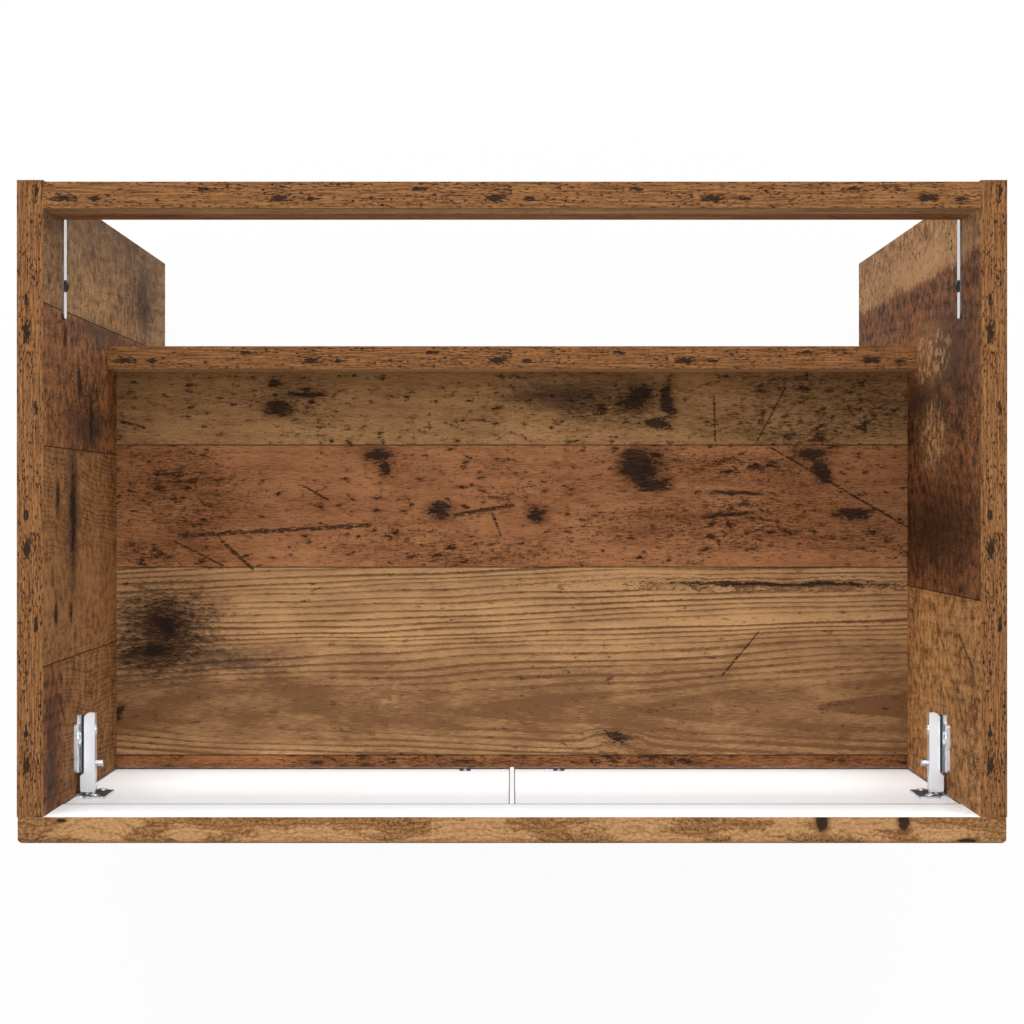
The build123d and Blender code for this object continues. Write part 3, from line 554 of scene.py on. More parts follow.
LEFT_FRONT = Board(
    grain="z",
    across="x",
    face=-1,
    planks=(
        Plank(-300.0, "golden", 19300.0, -262.0, 0.04),
        Plank(-214.0, "russet", 20100.0, -20.0),
        Plank(-128.0, "olive", 21500.0, 60.0),
        Plank(-66.0, "amber", 22700.0, 30.0),
    ),
    knots=(
        Knot(330.0, -170.0, 16.0, 11.0),
        Knot(560.0, -255.0, 13.0, 9.0),
        Knot(180.0, -95.0, 18.0, 5.0),
        Knot(600.0, -150.0, 9.0, 8.0),
    ),
    clusters=(
        Knot(250.0, -95.0, 140.0, 30.0),
        Knot(330.0, -170.0, 60.0, 24.0),
        Knot(560.0, -255.0, 40.0, 24.0),
    ),
    scratches=(
        Scratch((600.0, -190.0), (470.0, -178.0), 1.4),
        Scratch((150.0, -250.0), (240.0, -225.0), 0.8),
    ),
)

RIGHT_FRONT = Board(
    grain="z",
    across="x",
    face=-1,
    planks=(
        Plank(0.0, "russet", 23300.0, -120.0),
        Plank(72.0, "golden", 24700.0, 118.0, 0.04),
        Plank(168.0, "umber", 25300.0, 20.0),
        Plank(226.0, "amber", 26100.0, 400.0),
    ),
    knots=(
        Knot(520.0, 120.0, 15.0, 10.0),
        Knot(250.0, 34.0, 12.0, 8.0),
        Knot(160.0, 262.0, 16.0, 6.0),
        Knot(640.0, 40.0, 8.0, 7.0),
    ),
    clusters=(
        Knot(380.0, 35.0, 150.0, 26.0),
        Knot(520.0, 262.0, 120.0, 20.0),
        Knot(520.0, 120.0, 50.0, 26.0),
    ),
    worn=(Knot(420.0, 198.0, 60.0, 16.0),),
    scratches=(Scratch((430.0, 90.0), (330.0, 140.0), 0.9), Scratch((620.0, 200.0), (560.0, 250.0), 1.4)),
    bare=0.45,
)

# Knots that reach into the fascia's top edge, along it and across it
FASCIA_EDGE_KNOTS = (
    Knot(187.8, -174.6, 4.0, 7.0),
    Knot(237.5, -174.6, 3.6, 6.2),
    Knot(-273.0, -174.6, 3.2, 1.2),
    Knot(276.0, -186.8, 6.0, 1.1),
)


def nearest_knot(finish, along, across, knots):
    """Distance from the nearest knot's middle, in that knot's own half lengths and half widths."""
    nearest = FAR
    for knot in knots:
        reach = finish.vector(
            finish.math("MULTIPLY_ADD", along, 1.0 / knot.length, -knot.along / knot.length),
            finish.math("MULTIPLY_ADD", across, 1.0 / knot.width, -knot.across / knot.width),
        )
        nearest = finish.length(reach).math("MINIMUM", nearest)
    return nearest


def nearest_scratch(finish, along, across, scratches):
    """Distance from the nearest scratch's middle line, in that scratch's own widths."""
    nearest = FAR
    for (start_along, start_across), (end_along, end_across), width in scratches:
        run = np.array((end_along - start_along, end_across - start_across))
        run_along, run_across = (float(part) for part in run / (run @ run))
        begin = start_along * run_along + start_across * run_across
        share = finish.math("MULTIPLY_ADD", along, run_along, -begin)
        share = finish.math("MULTIPLY_ADD", across, run_across, share)
        share = share.math("MAXIMUM", 0.0).math("MINIMUM", 1.0)
        foot = finish.vector(
            finish.math("MULTIPLY_ADD", share, -float(run[0]), along - start_along),
            finish.math("MULTIPLY_ADD", share, -float(run[1]), across - start_across),
        )
        nearest = (finish.length(foot) / width).math("MINIMUM", nearest)
    return nearest


def plank_masks(finish, along, across, planks):
    """One mask for each plank after the first, 1 where it lies over those before it."""
    masks = []
    wear = None
    for plank in planks[1:]:
        mask = across > plank.start
        if plank.ragged:
            wear = wear or finish.swing(along, across, BORDER_WEAR)
            edge = across + wear * plank.ragged * 2.0
            mask = finish.smooth(edge, plank.start - plank.ragged * 0.3, plank.start + plank.ragged * 0.3)
        if plank.above is not None:
            mask = mask * (along > plank.above)
        masks.append(mask)
    return masks


def plank_print(finish, along, across, board, tones, weather=1.0):
    """Colour, roughness and height of aged planks. The growth lines are the rings of a tapering trunk cut by
    the board: the root of the squares of the distance from the heart line and of the heart's depth, less
    the taper along the grain. Slow noise bends them and the knots swell them. Weather is the share of the
    board's clouds and worn spots that shows."""
    planks = board.planks
    kinds = [KINDS[plank.kind] for plank in planks]
    masks = plank_masks(finish, along, across, planks)

    def pick(values):
        return finish.choose(masks, list(values), finish.blend)

    def pick_tone(shade):
        chosen = [getattr(tones, f"{plank.kind}_{shade}")[:] for plank in planks]
        return finish.choose(masks, chosen, finish.colour)

    slid = along + pick(plank.slide for plank in planks)
    wander = finish.swing(slid, across, WANDER)
    ragged = finish.swing(slid, across, RAGGED)
    fade = finish.swing(slid, across, FADE)
    fibre = finish.swing(slid, across, FIBRE)
    mottle = finish.swing(slid, across, MOTTLE)
    speck = finish.swing(slid, across, SPECK)
    torn = ragged * 2.2 + speck * 2.0

    # Growth lines: dark late wood at the end of each ring, stronger away from the heart
    near = nearest_knot(finish, along + fade * 12.0, across + mottle * 12.0, board.knots) + torn
    swell = 1.0 - finish.smooth(near, 0.0, 3.6)
    aside = across - pick(plank.heart for plank in planks) + wander * 16.0 - swell * 7.0
    spread = finish.smooth(abs(aside), 4.0, 60.0)
    ring = finish.length(finish.vector(aside, HEART_DEPTH)) - along * pick(plank.taper for plank in planks)
    vary = finish.swing(ring, slid, RING_STRENGTH)
    turn = ((ring + speck * 1.3 + vary * 7.0) / pick(kind.gap for kind in kinds)).math("FRACT")
    late = finish.smooth(turn, 0.4, 0.88) * (1.0 - finish.smooth(turn, 0.92, 1.0))
    growth = 0.40 + spread * 0.85 + vary * 2.4 + fade * 1.2 + ragged * 1.8

    # Damage: chips and fine pits above a level that falls in the clusters, knots, hair cracks and scratches
    crowd = nearest_knot(finish, along, across, board.clusters) + ragged * 2.0
    cluster = 1.0 - finish.smooth(crowd, 0.3, 1.3)
    level = 0.185 - 0.075 * pick(kind.chips for kind in kinds) - fade * 0.20 - cluster * 0.075
    chip = finish.smooth(ragged - level, 0.01, 0.04)
    rim = finish.smooth(ragged - level, -0.10, 0.01)
    pit = finish.smooth(speck - level * 0.9, 0.0, 0.05)
    core = 1.0 - finish.smooth(near, 0.88, 1.0)
    halo = 1.0 - finish.smooth(near, 0.9, 2.0)
    hair = finish.smooth(fibre + speck * 0.6 - level * 0.6, 0.02, 0.11) * finish.most(cluster, halo)
    line = nearest_scratch(finish, along, across, board.scratches) + ragged * 3.2
    cut = (1.0 - finish.smooth(line, 0.5, 1.2)) * finish.smooth(speck, -0.15, -0.03)
    seams = [
        abs(across - plank.start) < SEAM
        for plank in planks[1:]
        if plank.above is None and not plank.ragged
    ]
    hollow = finish.most(chip, pit * 0.8, core, cut, hair * 0.75, *seams)

    # Wood between its light and its dark tone, then the stains, burns, rims, worn spots and damage over it
    shade = (
        0.40
        + fibre * pick(kind.fibre for kind in kinds)
        + mottle * 1.1
        + (late - 0.24) * growth * pick(kind.depth for kind in kinds)
        # Darker along the heart line; on the golden planks partly painted shade
        + (1.0 - spread) * pick(kind.heartwood for kind in kinds)
        + cluster * 0.2
    )
    if board.cloud or board.worn:
        cloud = finish.swing(slid, across, CLOUD)
    if board.cloud:
        shade = shade + cloud * (board.cloud * weather)
    wood = finish.colour(shade, pick_tone("light"), pick_tone("dark"))
    if board.stains:
        smear = nearest_knot(finish, along + fade * 40.0, across + mottle * 30.0, board.stains) + torn
        wood = finish.colour((1.0 - finish.smooth(smear, 0.2, 1.7)) * 0.75, wood, tones.stain[:])
    if board.burns:
        burn = nearest_knot(finish, along + fade * 16.0, across + mottle * 16.0, board.burns) + torn * 0.8
        burnt = (1.0 - finish.smooth(burn, 0.1, 1.6)) * (0.9 + fibre * 1.2)
        wood = finish.colour(burnt, wood, tones.umber_dark[:])
    wood = finish.colour(finish.most(halo * 0.42, rim * 0.45), wood, tones.umber_dark[:])
    if board.worn:
        wear = nearest_knot(finish, along, across, board.worn) - cloud * 2.0
        bare = (1.0 - finish.smooth(wear, 0.3, 1.3)) * finish.smooth(cloud, -0.06, 0.08)
        wood = finish.colour(bare * (board.bare * weather), wood, tones.honey_light[:])
    deep = finish.most(finish.smooth(ragged - level, 0.03, 0.10), core, cut)
    ground = finish.colour(deep, tones.umber_dark[:], tones.scar[:])
    wood = finish.colour(hollow * (0.86 + fibre * 0.7), wood, ground)
    rough = 0.70 + hollow * 0.15
    height = fibre * 0.5 - finish.smooth(ragged, 0.13, 0.18)
    return wood, rough, height


def edge_band(finish, along, across, tones):
    """Colour and height of the boards' edge band: streaks along it, ragged dashes, and the oblong stains of
    each length of the repeated print. Across is measured from the middle of the band."""
    streak = finish.swing(along, across, BAND_STREAK)
    dash = finish.swing(along, across, BAND_DASH)
    gate = finish.swing(along, across, BAND_GATE)
    repeat = ((along + BAND_SHIFT) / BAND_REPEAT).math("FRACT") * BAND_REPEAT
    near = nearest_knot(finish, repeat, across, BAND_STAINS) - dash * 3.2
    stain = 1.0 - finish.smooth(near, 0.6, 1.2)
    pits = finish.smooth(dash + gate * 0.32, 0.075, 0.15)
    wood = finish.colour(0.46 + streak * 2.3 + dash * 0.8, tones.band_light[:], tones.band_dark[:])
    wood = finish.colour(finish.most(pits * 0.9, stain * 0.9), wood, tones.scar[:])
    return wood, streak * 0.6 - pits


def honey_edge(finish, along, across, knots, tones):
    """Colour and height of the pale edge of the fronts: broad lazy arcs of growth, a mealy grain, clusters of
    pits, and the knots that reach into it."""
    slow = finish.noise(along, across, EDGE_ARCS)
    meal = finish.swing(along, across, EDGE_MEAL)
    grit = finish.swing(along + GRIT_SHIFT, across, EDGE_GRIT)
    arc = (across / EDGE_ARC_GAP + slow * 5.5 + meal * 0.25).math("FRACT")
    arc = finish.smooth(arc, 0.55, 0.95) * (1.0 - finish.smooth(arc, 0.95, 1.0))
    area = finish.smooth(slow + meal * 0.12, 0.45, 0.56)
    pits = finish.smooth(grit + (slow - 0.5) * 0.35, 0.155, 0.2)
    shade = 0.34 + area * 0.40 + arc * 0.30 + meal * 1.6
    wood = finish.colour(shade, tones.honey_light[:], tones.honey_dark[:])
    near = nearest_knot(finish, along, across, knots) + meal * 1.2
    core = 1.0 - finish.smooth(near, 0.8, 1.05)
    halo = 1.0 - finish.smooth(near, 1.0, 1.8)
    wood = finish.colour(halo * 0.5, wood, tones.amber_dark[:])
    wood = finish.colour(finish.most(pits * 0.75, core * 0.92), wood, tones.scar[:])
    return wood, meal * 0.6 - pits


def finish_board(name, node, board, tones):
    """Dresses one board: planks on its two faces, turned end for end and less weathered on the hidden one,
    and edge band on its edges."""
    finish = Finish(bpy.data.materials.new(name))
    places = dict(zip(AXES, finish.place_mm()))
    normals = dict(zip(AXES, finish.place("Normal")))
    thick = next(axis for axis in AXES if axis not in (board.grain, board.across))
    low, high = (dict(zip(AXES, np.array(corner) * MILLIMETRES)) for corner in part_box(node))
    hidden = normals[thick] * board.face < 0.0
    turned = {}
    for axis in (board.grain, board.across):
        turned[axis] = finish.blend(hidden, places[axis], float(low[axis] + high[axis]) - places[axis])
    weather = 1.0 - hidden * HIDDEN_CALM
    along, across = turned[board.grain], turned[board.across]
    wood, rough, height = plank_print(finish, along, across, board, tones, weather)
    on_end = abs(normals[board.grain]) > FACING
    edge_along = finish.blend(on_end, places[board.grain], places[board.across])
    middle = float(low[thick] + high[thick]) / 2
    edge_wood, edge_height = edge_band(finish, edge_along, places[thick] - middle, tones)
    on_face = abs(normals[thick]) > FACING
    return finish.surface(
        {
            "Base Color": finish.colour(on_face, edge_wood, wood),
            "Roughness": finish.blend(on_face, 0.65, rough),
            "Specular IOR Level": BOARD_GLOSS,
            "Normal": finish.bump(finish.blend(on_face, edge_height, height), BOARD_RELIEF),
        }
    )


def fascia_shadow_line(places):
    """1 along the lower edge of the fascia's back, where a grey line of painted shadow stands for the gap
    above the doors.
    """
    return places["z"] < FASCIA_SHADOW_TOP


def door_shadow_line(places):
    """1 along the edges where the two doors meet, where grey lines of painted shadow stand for the gap between
    them.
    """
    return abs(places["x"]) < DOOR_SHADOW_REACH


def finish_front(name, board, edge_knots, border, tones, fittings):
    """Dresses a door or the fascia: planks in front, a pale edge all round and a white back with a grey line
    of painted shadow along its border."""
    finish = Finish(bpy.data.materials.new(name))
    places = dict(zip(AXES, finish.place_mm()))
    normals = dict(zip(AXES, finish.place("Normal")))
    wood, rough, height = plank_print(finish, places[board.grain], places[board.across], board, tones)
    on_top = abs(normals["z"]) > TOP_FACING
    edge_along = finish.blend(on_top, places["z"], places["x"])
    edge_wood, edge_height = honey_edge(finish, edge_along, places["y"], edge_knots, tones)
    in_front = normals["y"] < -FRONT_FACING
    behind = normals["y"] > FACING
    mist = finish.noise(places["x"], places["z"], BACK_MIST)
    white = finish.colour(mist, fittings.white_back[:], [shade * 0.97 for shade in fittings.white_back])
    # Painted shadow: the grey line along the border where the white back meets a gap.
    white = finish.colour(border(places), white, fittings.shadow_grey[:])
    colour = finish.colour(behind, finish.colour(in_front, edge_wood, wood), white)
    relief = finish.blend(behind, finish.blend(in_front, edge_height, height), mist * 0.1)
    return finish.surface(
        {
            "Base Color": colour,
            "Roughness": finish.blend(behind, rough, 0.42 + mist * 0.1),
            "Specular IOR Level": BOARD_GLOSS,
            "Normal": finish.bump(relief, BOARD_RELIEF),
        }
    )


def plate_neck(finish):
    """1 on the neck of a hinge plate, told by its distance from the cabinet's middle. The neck gets painted
    shade there, for the shadow under the arm.
    """
    aside = abs(finish.place_mm()[0])
    return (aside > PLATE_NECK[0]) * (aside < PLATE_NECK[1])


def cup_face(finish):
    """1 on the faces of a hinge cup that look to the back of the cabinet when its door is shut. These faces
    get painted shade, for the dark that they mirror.
    """
    return finish.place("Normal")[1] > FACING


def finish_metal(name, colour, rough, grain, shading=None, painted_shade=None):
    """Plated metal: fine draw lines along one axis, cloudy plating, and painted shade, dark and dull, where a
    mask is 1.
    """
    finish = Finish(bpy.data.materials.new(name))
    places = dict(zip(AXES, finish.place_mm()))
    cross = [places[axis] for axis in AXES if axis != grain]
    drawn = finish.noise(places[grain], cross[0] + cross[1], DRAW_LINES)
    cloud = finish.noise(places[grain], cross[0] - cross[1], PLATING_CLOUD)
    plating = finish.colour(cloud, colour[:], [shade * 0.86 for shade in colour])
    shine = rough + (cloud - 0.5) * 0.2 + (drawn - 0.5) * 0.12
    metal = 1.0
    # Painted shade: where the mask is 1 the metal turns dark, dull and not metallic.
    if shading:
        shaded = shading(finish)
        plating = finish.colour(shaded, plating, painted_shade[:])
        shine = finish.blend(shaded, shine, 0.7)
        metal = 1.0 - shaded
    return finish.surface(
        {
            "Base Color": plating,
            "Metallic": metal,
            "Roughness": shine,
            "Normal": finish.bump(drawn * 0.6 + cloud * 0.4, METAL_RELIEF),
        }
    )


def finish_plain(name, colour, rough, grain, depth):
    """Plastic, coating or plain wood: a darker grain along one axis."""
    finish = Finish(bpy.data.materials.new(name))
    places = dict(zip(AXES, finish.place_mm()))
    cross = [places[axis] for axis in AXES if axis != grain]
    streak = finish.noise(places[grain], cross[0] + cross[1], COATING_STREAK)
    return finish.surface(
        {
            "Base Color": finish.colour(streak, colour[:], [shade * (1.0 - depth) for shade in colour]),
            "Roughness": rough + (streak - 0.5) * 0.2,
            "Normal": finish.bump(streak, COATING_RELIEF),
        }
    )


def dress(material, *nodes):
    """Gives the named pieces this finish alone."""
    for name in nodes:
        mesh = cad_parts[name].data
        mesh.materials.clear()
        mesh.materials.append(material)


def solids_of(node):
    """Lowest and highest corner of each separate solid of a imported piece."""
    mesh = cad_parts[node].data
    points = np.empty(len(mesh.vertices) * 3)
    mesh.vertices.foreach_get("co", points)
    points = points.reshape(-1, 3)
    corners = np.empty(len(mesh.loops), dtype=np.int64)
    mesh.loops.foreach_get("vertex_index", corners)
    _, merged = np.unique(np.round(points, 6), axis=0, return_inverse=True)
    triangles = merged.reshape(-1)[corners].reshape(-1, 3)
    labels = np.arange(merged.max() + 1)
    while True:
        lowest = labels[triangles].min(axis=1)
        spread = labels.copy()
        np.minimum.at(spread, triangles.ravel(), np.repeat(lowest, 3))
        if np.array_equal(spread, labels):
            break
        labels = spread
    owner = labels[merged.reshape(-1)]
    solids = [points[owner == label] for label in np.unique(owner)]
    return [(solid.min(axis=0), solid.max(axis=0)) for solid in solids]


def add_piece(name, points, quads, material, body, slot, *nodes):
    """A new piece from corner points and quads, its poles drawn to one point each, riding on a body in place
    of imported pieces."""
    mesh = bpy.data.meshes.new(name)
    mesh.from_pydata(points.tolist(), [], quads.tolist())
    shell = bmesh.new()
    shell.from_mesh(mesh)
    bmesh.ops.remove_doubles(shell, verts=shell.verts, dist=POLE_REACH)
    shell.to_mesh(mesh)
    shell.free()
    mesh.materials.append(material)
    mesh.polygons.foreach_set("use_smooth", np.ones(len(mesh.polygons), dtype=bool))
    piece = bpy.data.objects.new(name, mesh)
    bpy.context.scene.collection.objects.link(piece)
    mesh.update()
    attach(piece, body)
    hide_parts(*nodes)


def revolve_grid(rings, around):
    """Quads of a surface of rings from its top pole to its bottom one, facing outwards."""
    ring = np.arange(rings - 1)[:, None] * around
    step = np.arange(around)[None, :]
    after = (step + 1) % around
    below = ring + around
    return np.stack((ring + step, below + step, below + after, ring + after), axis=-1).reshape(-1, 4)


# Sides and rings of a turned screw, its cross recess in shares of the head's radius and height, and the depth
# of its thread as a share of the shank's radius
SCREW_TURN = 72
SCREW_HEAD_RINGS = 26
SCREW_RIM_RINGS = 4
SCREW_SHANK_RINGS = 60
CROSS_ARM = 0.20
CROSS_WALL = 0.07
CROSS_REACH = 0.62
CROSS_END = 0.10
CROSS_DEPTH = 0.62
THREAD_DEPTH = 0.28

# Turned screws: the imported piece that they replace, their axis, height of the head, radius of the shank, how
# domed the head is, pitch of the thread, body and slot. Heights, radii and pitches are in metres.
Screw = namedtuple("Screw", "node axis head shank dome pitch body slot")
SCREWS = {
    "bracket_screw_set": Screw(
        "bracket_screws", "x", 0.0022, 0.0018, 0.75, 0.0014, "cabinet", "black_screw"
    ),
    "hinge_plate_screw_set": Screw(
        "hinge_plate_screws", "x", 0.0018, 0.0026, 0.6, 0.002, "cabinet", "bright_nickel"
    ),
    "hinge_arm_screw_set": Screw(
        "hinge_arm_screws", "x", 0.001, 0.0019, 0.4, 0.0008, "cabinet", "bright_nickel"
    ),
    "hinge_adjuster_set": Screw(
        "hinge_side_adjusters", "x", 0.0006, 0.0023, 0.3, 0.0008, "cabinet", "bright_nickel"
    ),
}
for side in SIDES:
    SCREWS[f"{side}_cup_screw_set"] = Screw(
        f"{side}_cup_screws", "y", 0.0014, 0.0017, 0.6, 0.0014, f"{side}_door", "bright_nickel"
    )
    SCREWS[f"{side}_knob_screw_turned"] = Screw(
        f"{side}_knob_screw", "y", 0.0022, 0.002, 0.75, 0.0007, f"{side}_door", "steel_screw"
    )


def screw_surface(screw, head_radius, length):
    """A cross-recessed screw about +Z, head up, seat at 0: a profile turned about the axis. Its head falls
    off as a power of the radius, a cross of two arms sinks into it, and the shank's radius follows a
    helix."""
    turn = np.linspace(0.0, math.tau, SCREW_TURN, endpoint=False)[None, :]
    share = np.linspace(0.0, 1.0, SCREW_HEAD_RINGS)[:, None]
    top_radius = head_radius * np.sin(share * math.pi / 2)
    top_height = screw.head * (1.0 - screw.dome * (top_radius / head_radius) ** 3)
    side_x = top_radius * np.cos(turn)
    side_y = top_radius * np.sin(turn)
    arm = np.minimum(np.abs(side_x), np.abs(side_y)) / head_radius
    reach = np.maximum(np.abs(side_x), np.abs(side_y)) / head_radius
    wall = np.clip((CROSS_ARM - arm) / CROSS_WALL, 0.0, 1.0)
    end = np.clip((CROSS_REACH - reach) / CROSS_END, 0.0, 1.0)
    top_height = top_height - wall * end * screw.head * CROSS_DEPTH
    below = np.linspace(0.0, 1.0, SCREW_RIM_RINGS)[1:, None]
    side_height = screw.head * (1.0 - screw.dome) * (1.0 - below) + 0.0 * turn
    side_radius = head_radius * np.ones_like(below) + 0.0 * turn
    depth = np.linspace(0.0, 1.0, SCREW_SHANK_RINGS)[:, None] * length
    taper = np.clip((length - depth) / (2.0 * screw.shank), 0.0, 1.0)
    wave = np.abs(((depth / screw.pitch - turn / math.tau) % 1.0) - 0.5) * 2.0
    shank = screw.shank * taper * (1.0 - THREAD_DEPTH + THREAD_DEPTH * wave)
    radius = np.concatenate((top_radius + 0.0 * turn, side_radius, shank))
    height = np.concatenate((top_height, side_height, 0.0 * turn - depth))
    points = np.stack((radius * np.cos(turn), radius * np.sin(turn), height), axis=-1)
    return points.reshape(-1, 3), revolve_grid(len(radius), SCREW_TURN)


def screws_in_place(screw):
    """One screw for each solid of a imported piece. Its head faces the cabinet's middle along x, or its back
    along y."""
    all_points = []
    all_quads = []
    count = 0
    axis = AXES.index(screw.axis)
    across = [number for number in range(3) if number != axis]
    for low, high in solids_of(screw.node):
        middle = (low + high) / 2
        sign = 1.0 if screw.axis == "y" else -math.copysign(1.0, middle[0])
        head_radius = (high - low)[across].max() / 2
        top = high[axis] if sign > 0 else low[axis]
        length = (high - low)[axis] - screw.head
        points, quads = screw_surface(screw, head_radius, length)
        placed = np.empty_like(points)
        placed[:, axis] = top + sign * (points[:, 2] - screw.head)
        placed[:, across[0]] = middle[across[0]] + points[:, 0]
        placed[:, across[1]] = middle[across[1]] + points[:, 1]
        hand = -sign if screw.axis == "y" else sign
        all_points.append(placed)
        all_quads.append((quads if hand > 0 else quads[:, ::-1]) + count)
        count += len(points)
    return np.concatenate(all_points), np.concatenate(all_quads)


class FinishOperator:
    """What every step of the dressing shares."""

    bl_options = {"REGISTER", "UNDO"}


class VANITY_OT_carcass(FinishOperator, bpy.types.Operator):
    """Dress the side panels, shelf, rails, bottom panel and plinth in aged planks"""

    bl_idname = "vanity.carcass"
    bl_label = "Carcass boards"

    def execute(self, context):
        tones = context.scene.vanity_tones
        boards = {
            "left_side_panel": LEFT_SIDE,
            "right_side_panel": RIGHT_SIDE,
            "shelf": SHELF,
            "shelf_back_rail": SHELF_RAIL,
            "rear_top_rail": REAR_RAIL,
            "bottom_panel": BOTTOM,
            "plinth": PLINTH,
        }
        for node, board in boards.items():
            dress(finish_board(f"{node} planks", node, board, tones), node)
        return {"FINISHED"}


class VANITY_OT_fronts(FinishOperator, bpy.types.Operator):
    """Dress the doors and the fascia in aged planks with white backs"""

    bl_idname = "vanity.fronts"
    bl_label = "Doors and fascia"

    def execute(self, context):
        tones = context.scene.vanity_tones
        fittings = context.scene.vanity_fittings
        fronts = {"front_fascia": FASCIA, "left_door": LEFT_FRONT, "right_door": RIGHT_FRONT}
        for node, board in fronts.items():
            is_fascia = node == "front_fascia"
            edge_knots = FASCIA_EDGE_KNOTS if is_fascia else ()
            # The fascia's and the doors' grey lines of painted shadow.
            border = fascia_shadow_line if is_fascia else door_shadow_line
            dress(finish_front(f"{node} planks", board, edge_knots, border, tones, fittings), node)
        return {"FINISHED"}


class VANITY_OT_hinges(FinishOperator, bpy.types.Operator):
    """Plate the hinge arms, plates, cups and links in bright nickel"""

    bl_idname = "vanity.hinges"
    bl_label = "Hinges"

    def execute(self, context):
        fittings = context.scene.vanity_fittings
        painted_shade = fittings.painted_shade
        bright = finish_metal("bright nickel", fittings.nickel, 0.38, "y")
        finishes = {
            "hinge_arm": bright,
            "outer_link": bright,
            "inner_link": bright,
            # The plates' necks and the cups' rear faces get painted shade.
            "hinge_plate": finish_metal("plate nickel", fittings.nickel, 0.3, "y", plate_neck, painted_shade),
            "hinge_cup": finish_metal("cup nickel", fittings.cup, 0.25, "y", cup_face, painted_shade),
        }
        for piece, metal in finishes.items():
            dress(metal, *(f"{side}_{level}_{piece}" for side in SIDES for level in LEVELS))
        return {"FINISHED"}


class VANITY_OT_brackets(FinishOperator, bpy.types.Operator):
    """Plate the wall brackets in zinc"""

    bl_idname = "vanity.brackets"
    bl_label = "Wall brackets"

    def execute(self, context):
        zinc = finish_metal("zinc plate", context.scene.vanity_fittings.zinc, 0.16, "y")
        dress(zinc, *(f"{side}_wall_bracket" for side in SIDES))
        return {"FINISHED"}


class VANITY_OT_knobs(FinishOperator, bpy.types.Operator):
    """Give the turned knobs a satin nickel face"""

    bl_idname = "vanity.knobs"
    bl_label = "Knobs"

    def execute(self, context):
        satin = finish_metal("satin nickel", context.scene.vanity_fittings.satin, 0.36, "y")
        dress(satin, *(f"{side}_knob" for side in SIDES))
        return {"FINISHED"}


class VANITY_OT_joinery(FinishOperator, bpy.types.Operator):
    """Dress the cam locks, cam bolts, dowels and floor glides"""

    bl_idname = "vanity.joinery"
    bl_label = "Joining hardware"

    def execute(self, context):
        fittings = context.scene.vanity_fittings
        dress(finish_metal("cast zinc", fittings.cast, 0.45, "x"), "cam_locks")
        dress(finish_metal("bolt zinc", fittings.zinc, 0.35, "x"), "cam_bolts")
        dress(finish_plain("beech", fittings.beech, 0.6, "x", 0.3), "dowels")
        dress(finish_plain("grey plastic", fittings.plastic, 0.5, "z", 0.15), "floor_glides")
        return {"FINISHED"}


class VANITY_OT_screws(FinishOperator, bpy.types.Operator):
    """Turn the screws with their cross recesses and threads"""

    bl_idname = "vanity.screws"
    bl_label = "Screws"

    def execute(self, context):
        fittings = context.scene.vanity_fittings
        metals = {
            "bright_nickel": finish_metal("screw nickel", fittings.nickel, 0.28, "x"),
            "steel_screw": finish_metal("screw steel", fittings.steel, 0.35, "y"),
            "black_screw": finish_plain("black coating", fittings.black, 0.35, "x", 0.3),
        }
        for name, screw in SCREWS.items():
            points, quads = screws_in_place(screw)
            add_piece(name, points, quads, metals[screw.slot], screw.body, screw.slot, screw.node)
        return {"FINISHED"}


# Stage: corners along each side of the floor, its colours, the point in metres that the lamps are aimed at,
# and the camera's sensor in millimetres
FLOOR_STEPS = 9
WHITE = (1.0, 1.0, 1.0, 1.0)
PALE = (0.9, 0.9, 0.9, 1.0)
LAMP_AIM = (0.0, 0.0, 0.55)
SENSOR_WIDTH = 36.0


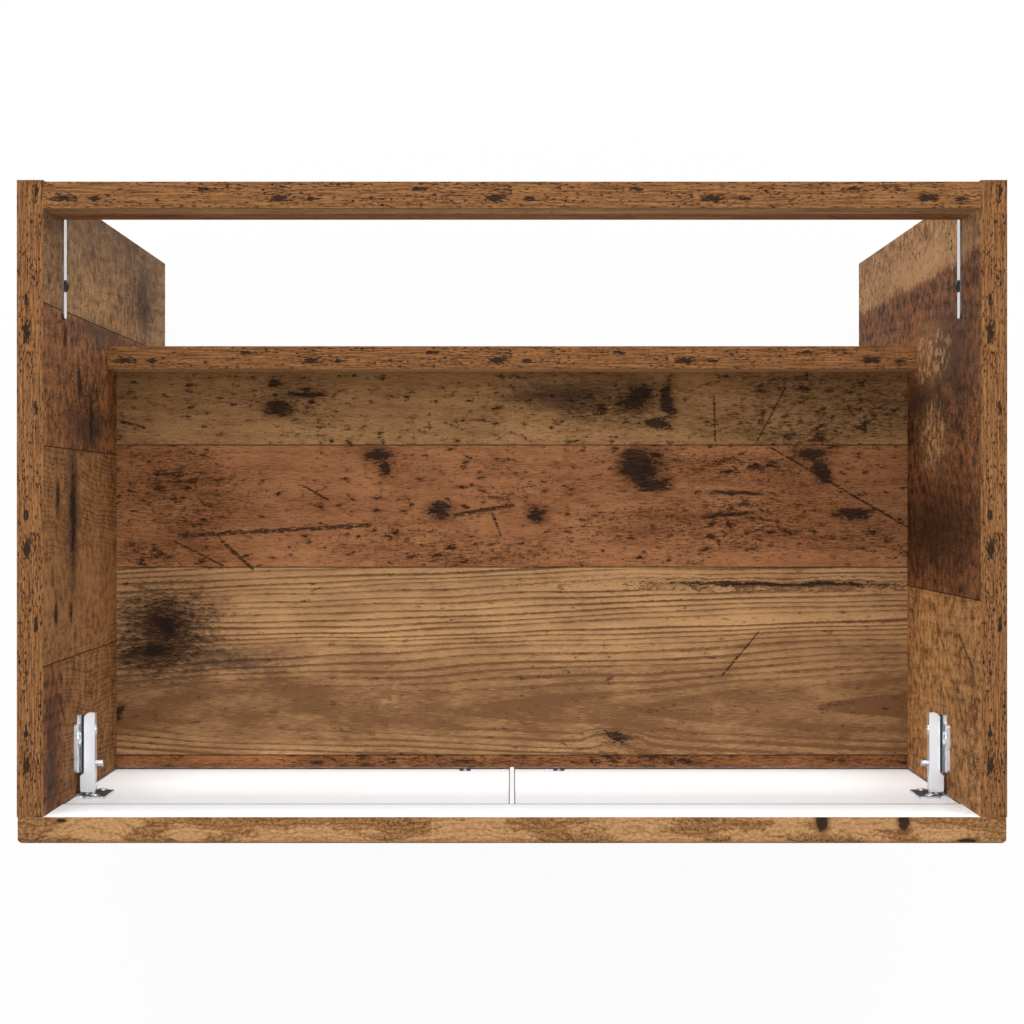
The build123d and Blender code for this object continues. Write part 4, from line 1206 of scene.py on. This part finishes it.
class VANITY_OT_stage(FinishOperator, bpy.types.Operator):
    """Set the floor, the sky, the lamps and the camera overhead"""

    bl_idname = "vanity.stage"
    bl_label = "Stage"

    def execute(self, context):
        sizes = context.scene.vanity_stage
        self.lay_floor(context, sizes)
        self.light_sky(context, sizes)
        self.hang_lamps(context, sizes)
        self.place_camera(context, sizes)
        context.scene.view_settings.view_transform = "Standard"
        return {"FINISHED"}

    def lay_floor(self, context, sizes):
        """A flat sheet: (s, t) on a grid, scaled to the floor's width, at height 0."""
        steps = FLOOR_STEPS
        spread = np.linspace(-0.5, 0.5, steps) * sizes.floor_width
        across, along = np.meshgrid(spread, spread)
        points = np.stack((across, along, np.zeros_like(across)), axis=-1).reshape(-1, 3)
        first = (np.arange(steps - 1)[:, None] * steps + np.arange(steps - 1)[None, :]).reshape(-1)
        quads = np.stack((first, first + 1, first + steps + 1, first + steps), axis=-1)
        mesh = bpy.data.meshes.new("floor")
        mesh.from_pydata(points.tolist(), [], quads.tolist())
        floor = bpy.data.objects.new("floor", mesh)
        context.scene.collection.objects.link(floor)
        finish = Finish(bpy.data.materials.new("pale floor"))
        seen = self.seen_rays(finish)
        paint = finish.node("ShaderNodeBsdfDiffuse", {}, {"Color": PALE})
        glow = finish.node("ShaderNodeEmission", {}, {"Color": WHITE, "Strength": 1.0})
        share = seen * (1.0 - sizes.floor_shade)
        mixed = finish.node("ShaderNodeMixShader", {}, {0: share, 1: paint, 2: glow})
        finish.node("ShaderNodeOutputMaterial", {}, {"Surface": mixed})
        mesh.materials.append(finish.owner)

    @staticmethod
    def seen_rays(finish):
        """1 for rays from the camera and for mirrored and refracted ones."""
        camera = finish.node("ShaderNodeLightPath", {}, {}, "Is Camera Ray")
        glossy = finish.node("ShaderNodeLightPath", {}, {}, "Is Glossy Ray")
        through = finish.node("ShaderNodeLightPath", {}, {}, "Is Transmission Ray")
        return camera.math("MAXIMUM", glossy).math("MAXIMUM", through)

    def light_sky(self, context, sizes):
        """White where it is seen, and an even dimmer light elsewhere."""
        world = bpy.data.worlds.new("even sky")
        context.scene.world = world
        sky = Finish(world)
        seen = self.seen_rays(sky)
        strength = sky.blend(seen, sizes.sky, 1.0)
        glow = sky.node("ShaderNodeBackground", {}, {"Color": WHITE, "Strength": strength})
        sky.node("ShaderNodeOutputWorld", {}, {"Surface": glow})

    def hang_lamps(self, context, sizes):
        """Square lamps aimed at the cabinet, each with its place, width and power."""
        aim = mathutils.Vector(LAMP_AIM)
        lamps = {
            "overhead lamp": ((0.0, 1.3, 4.1), 2.6, sizes.overhead_lamp),
            "rear lamp": ((0.0, 3.3, 1.35), 1.6, sizes.rear_lamp),
            "front left lamp": ((-2.2, -2.6, 1.9), 1.4, sizes.front_lamp),
            "front right lamp": ((2.2, -2.6, 1.9), 1.4, sizes.front_lamp),
        }
        for name, (place, width, power) in lamps.items():
            light = bpy.data.lights.new(name, "AREA")
            light.energy = power
            light.size = width
            lamp = bpy.data.objects.new(name, light)
            lamp.location = place
            lamp.rotation_euler = (aim - lamp.location).to_track_quat("-Z", "Y").to_euler()
            context.scene.collection.objects.link(lamp)

    def place_camera(self, context, sizes):
        """A camera that looks straight down into the cabinet."""
        lens = bpy.data.cameras.new("camera")
        lens.lens = sizes.lens
        lens.sensor_width = SENSOR_WIDTH
        lens.shift_y = sizes.rise
        camera = bpy.data.objects.new("camera", lens)
        camera.location = (0.0, sizes.eye_back, sizes.eye_height)
        context.scene.collection.objects.link(camera)
        context.scene.camera = camera


class VANITY_PT_panel(bpy.types.Panel):
    """The steps of the dressing, in order"""

    bl_idname = "VANITY_PT_panel"
    bl_label = "Vanity cabinet"
    bl_space_type = "VIEW_3D"
    bl_region_type = "UI"
    bl_category = "Vanity"

    def draw(self, context):
        for step in STEPS:
            self.layout.operator(step.bl_idname)
        for group in ("vanity_tones", "vanity_fittings", "vanity_stage"):
            box = self.layout.box()
            settings = getattr(context.scene, group)
            for key in settings.bl_rna.properties.keys()[2:]:
                box.prop(settings, key)


GROUPS = {"vanity_tones": PlankTones, "vanity_fittings": FittingTones, "vanity_stage": StageSizes}
STEPS = (
    VANITY_OT_carcass,
    VANITY_OT_fronts,
    VANITY_OT_hinges,
    VANITY_OT_brackets,
    VANITY_OT_knobs,
    VANITY_OT_joinery,
    VANITY_OT_screws,
    VANITY_OT_stage,
)
CLASSES = (*GROUPS.values(), *STEPS, VANITY_PT_panel)


def register():
    for each in CLASSES:
        bpy.utils.register_class(each)
    for name, group in GROUPS.items():
        setattr(bpy.types.Scene, name, PointerProperty(type=group))


def unregister():
    for name in GROUPS:
        delattr(bpy.types.Scene, name)
    for each in reversed(CLASSES):
        bpy.utils.unregister_class(each)


def main():
    """Runs every step."""
    register()
    for step in STEPS:
        area, _, name = step.bl_idname.partition(".")
        getattr(getattr(bpy.ops, area), name)()


if __name__ == "__main__":
    main()
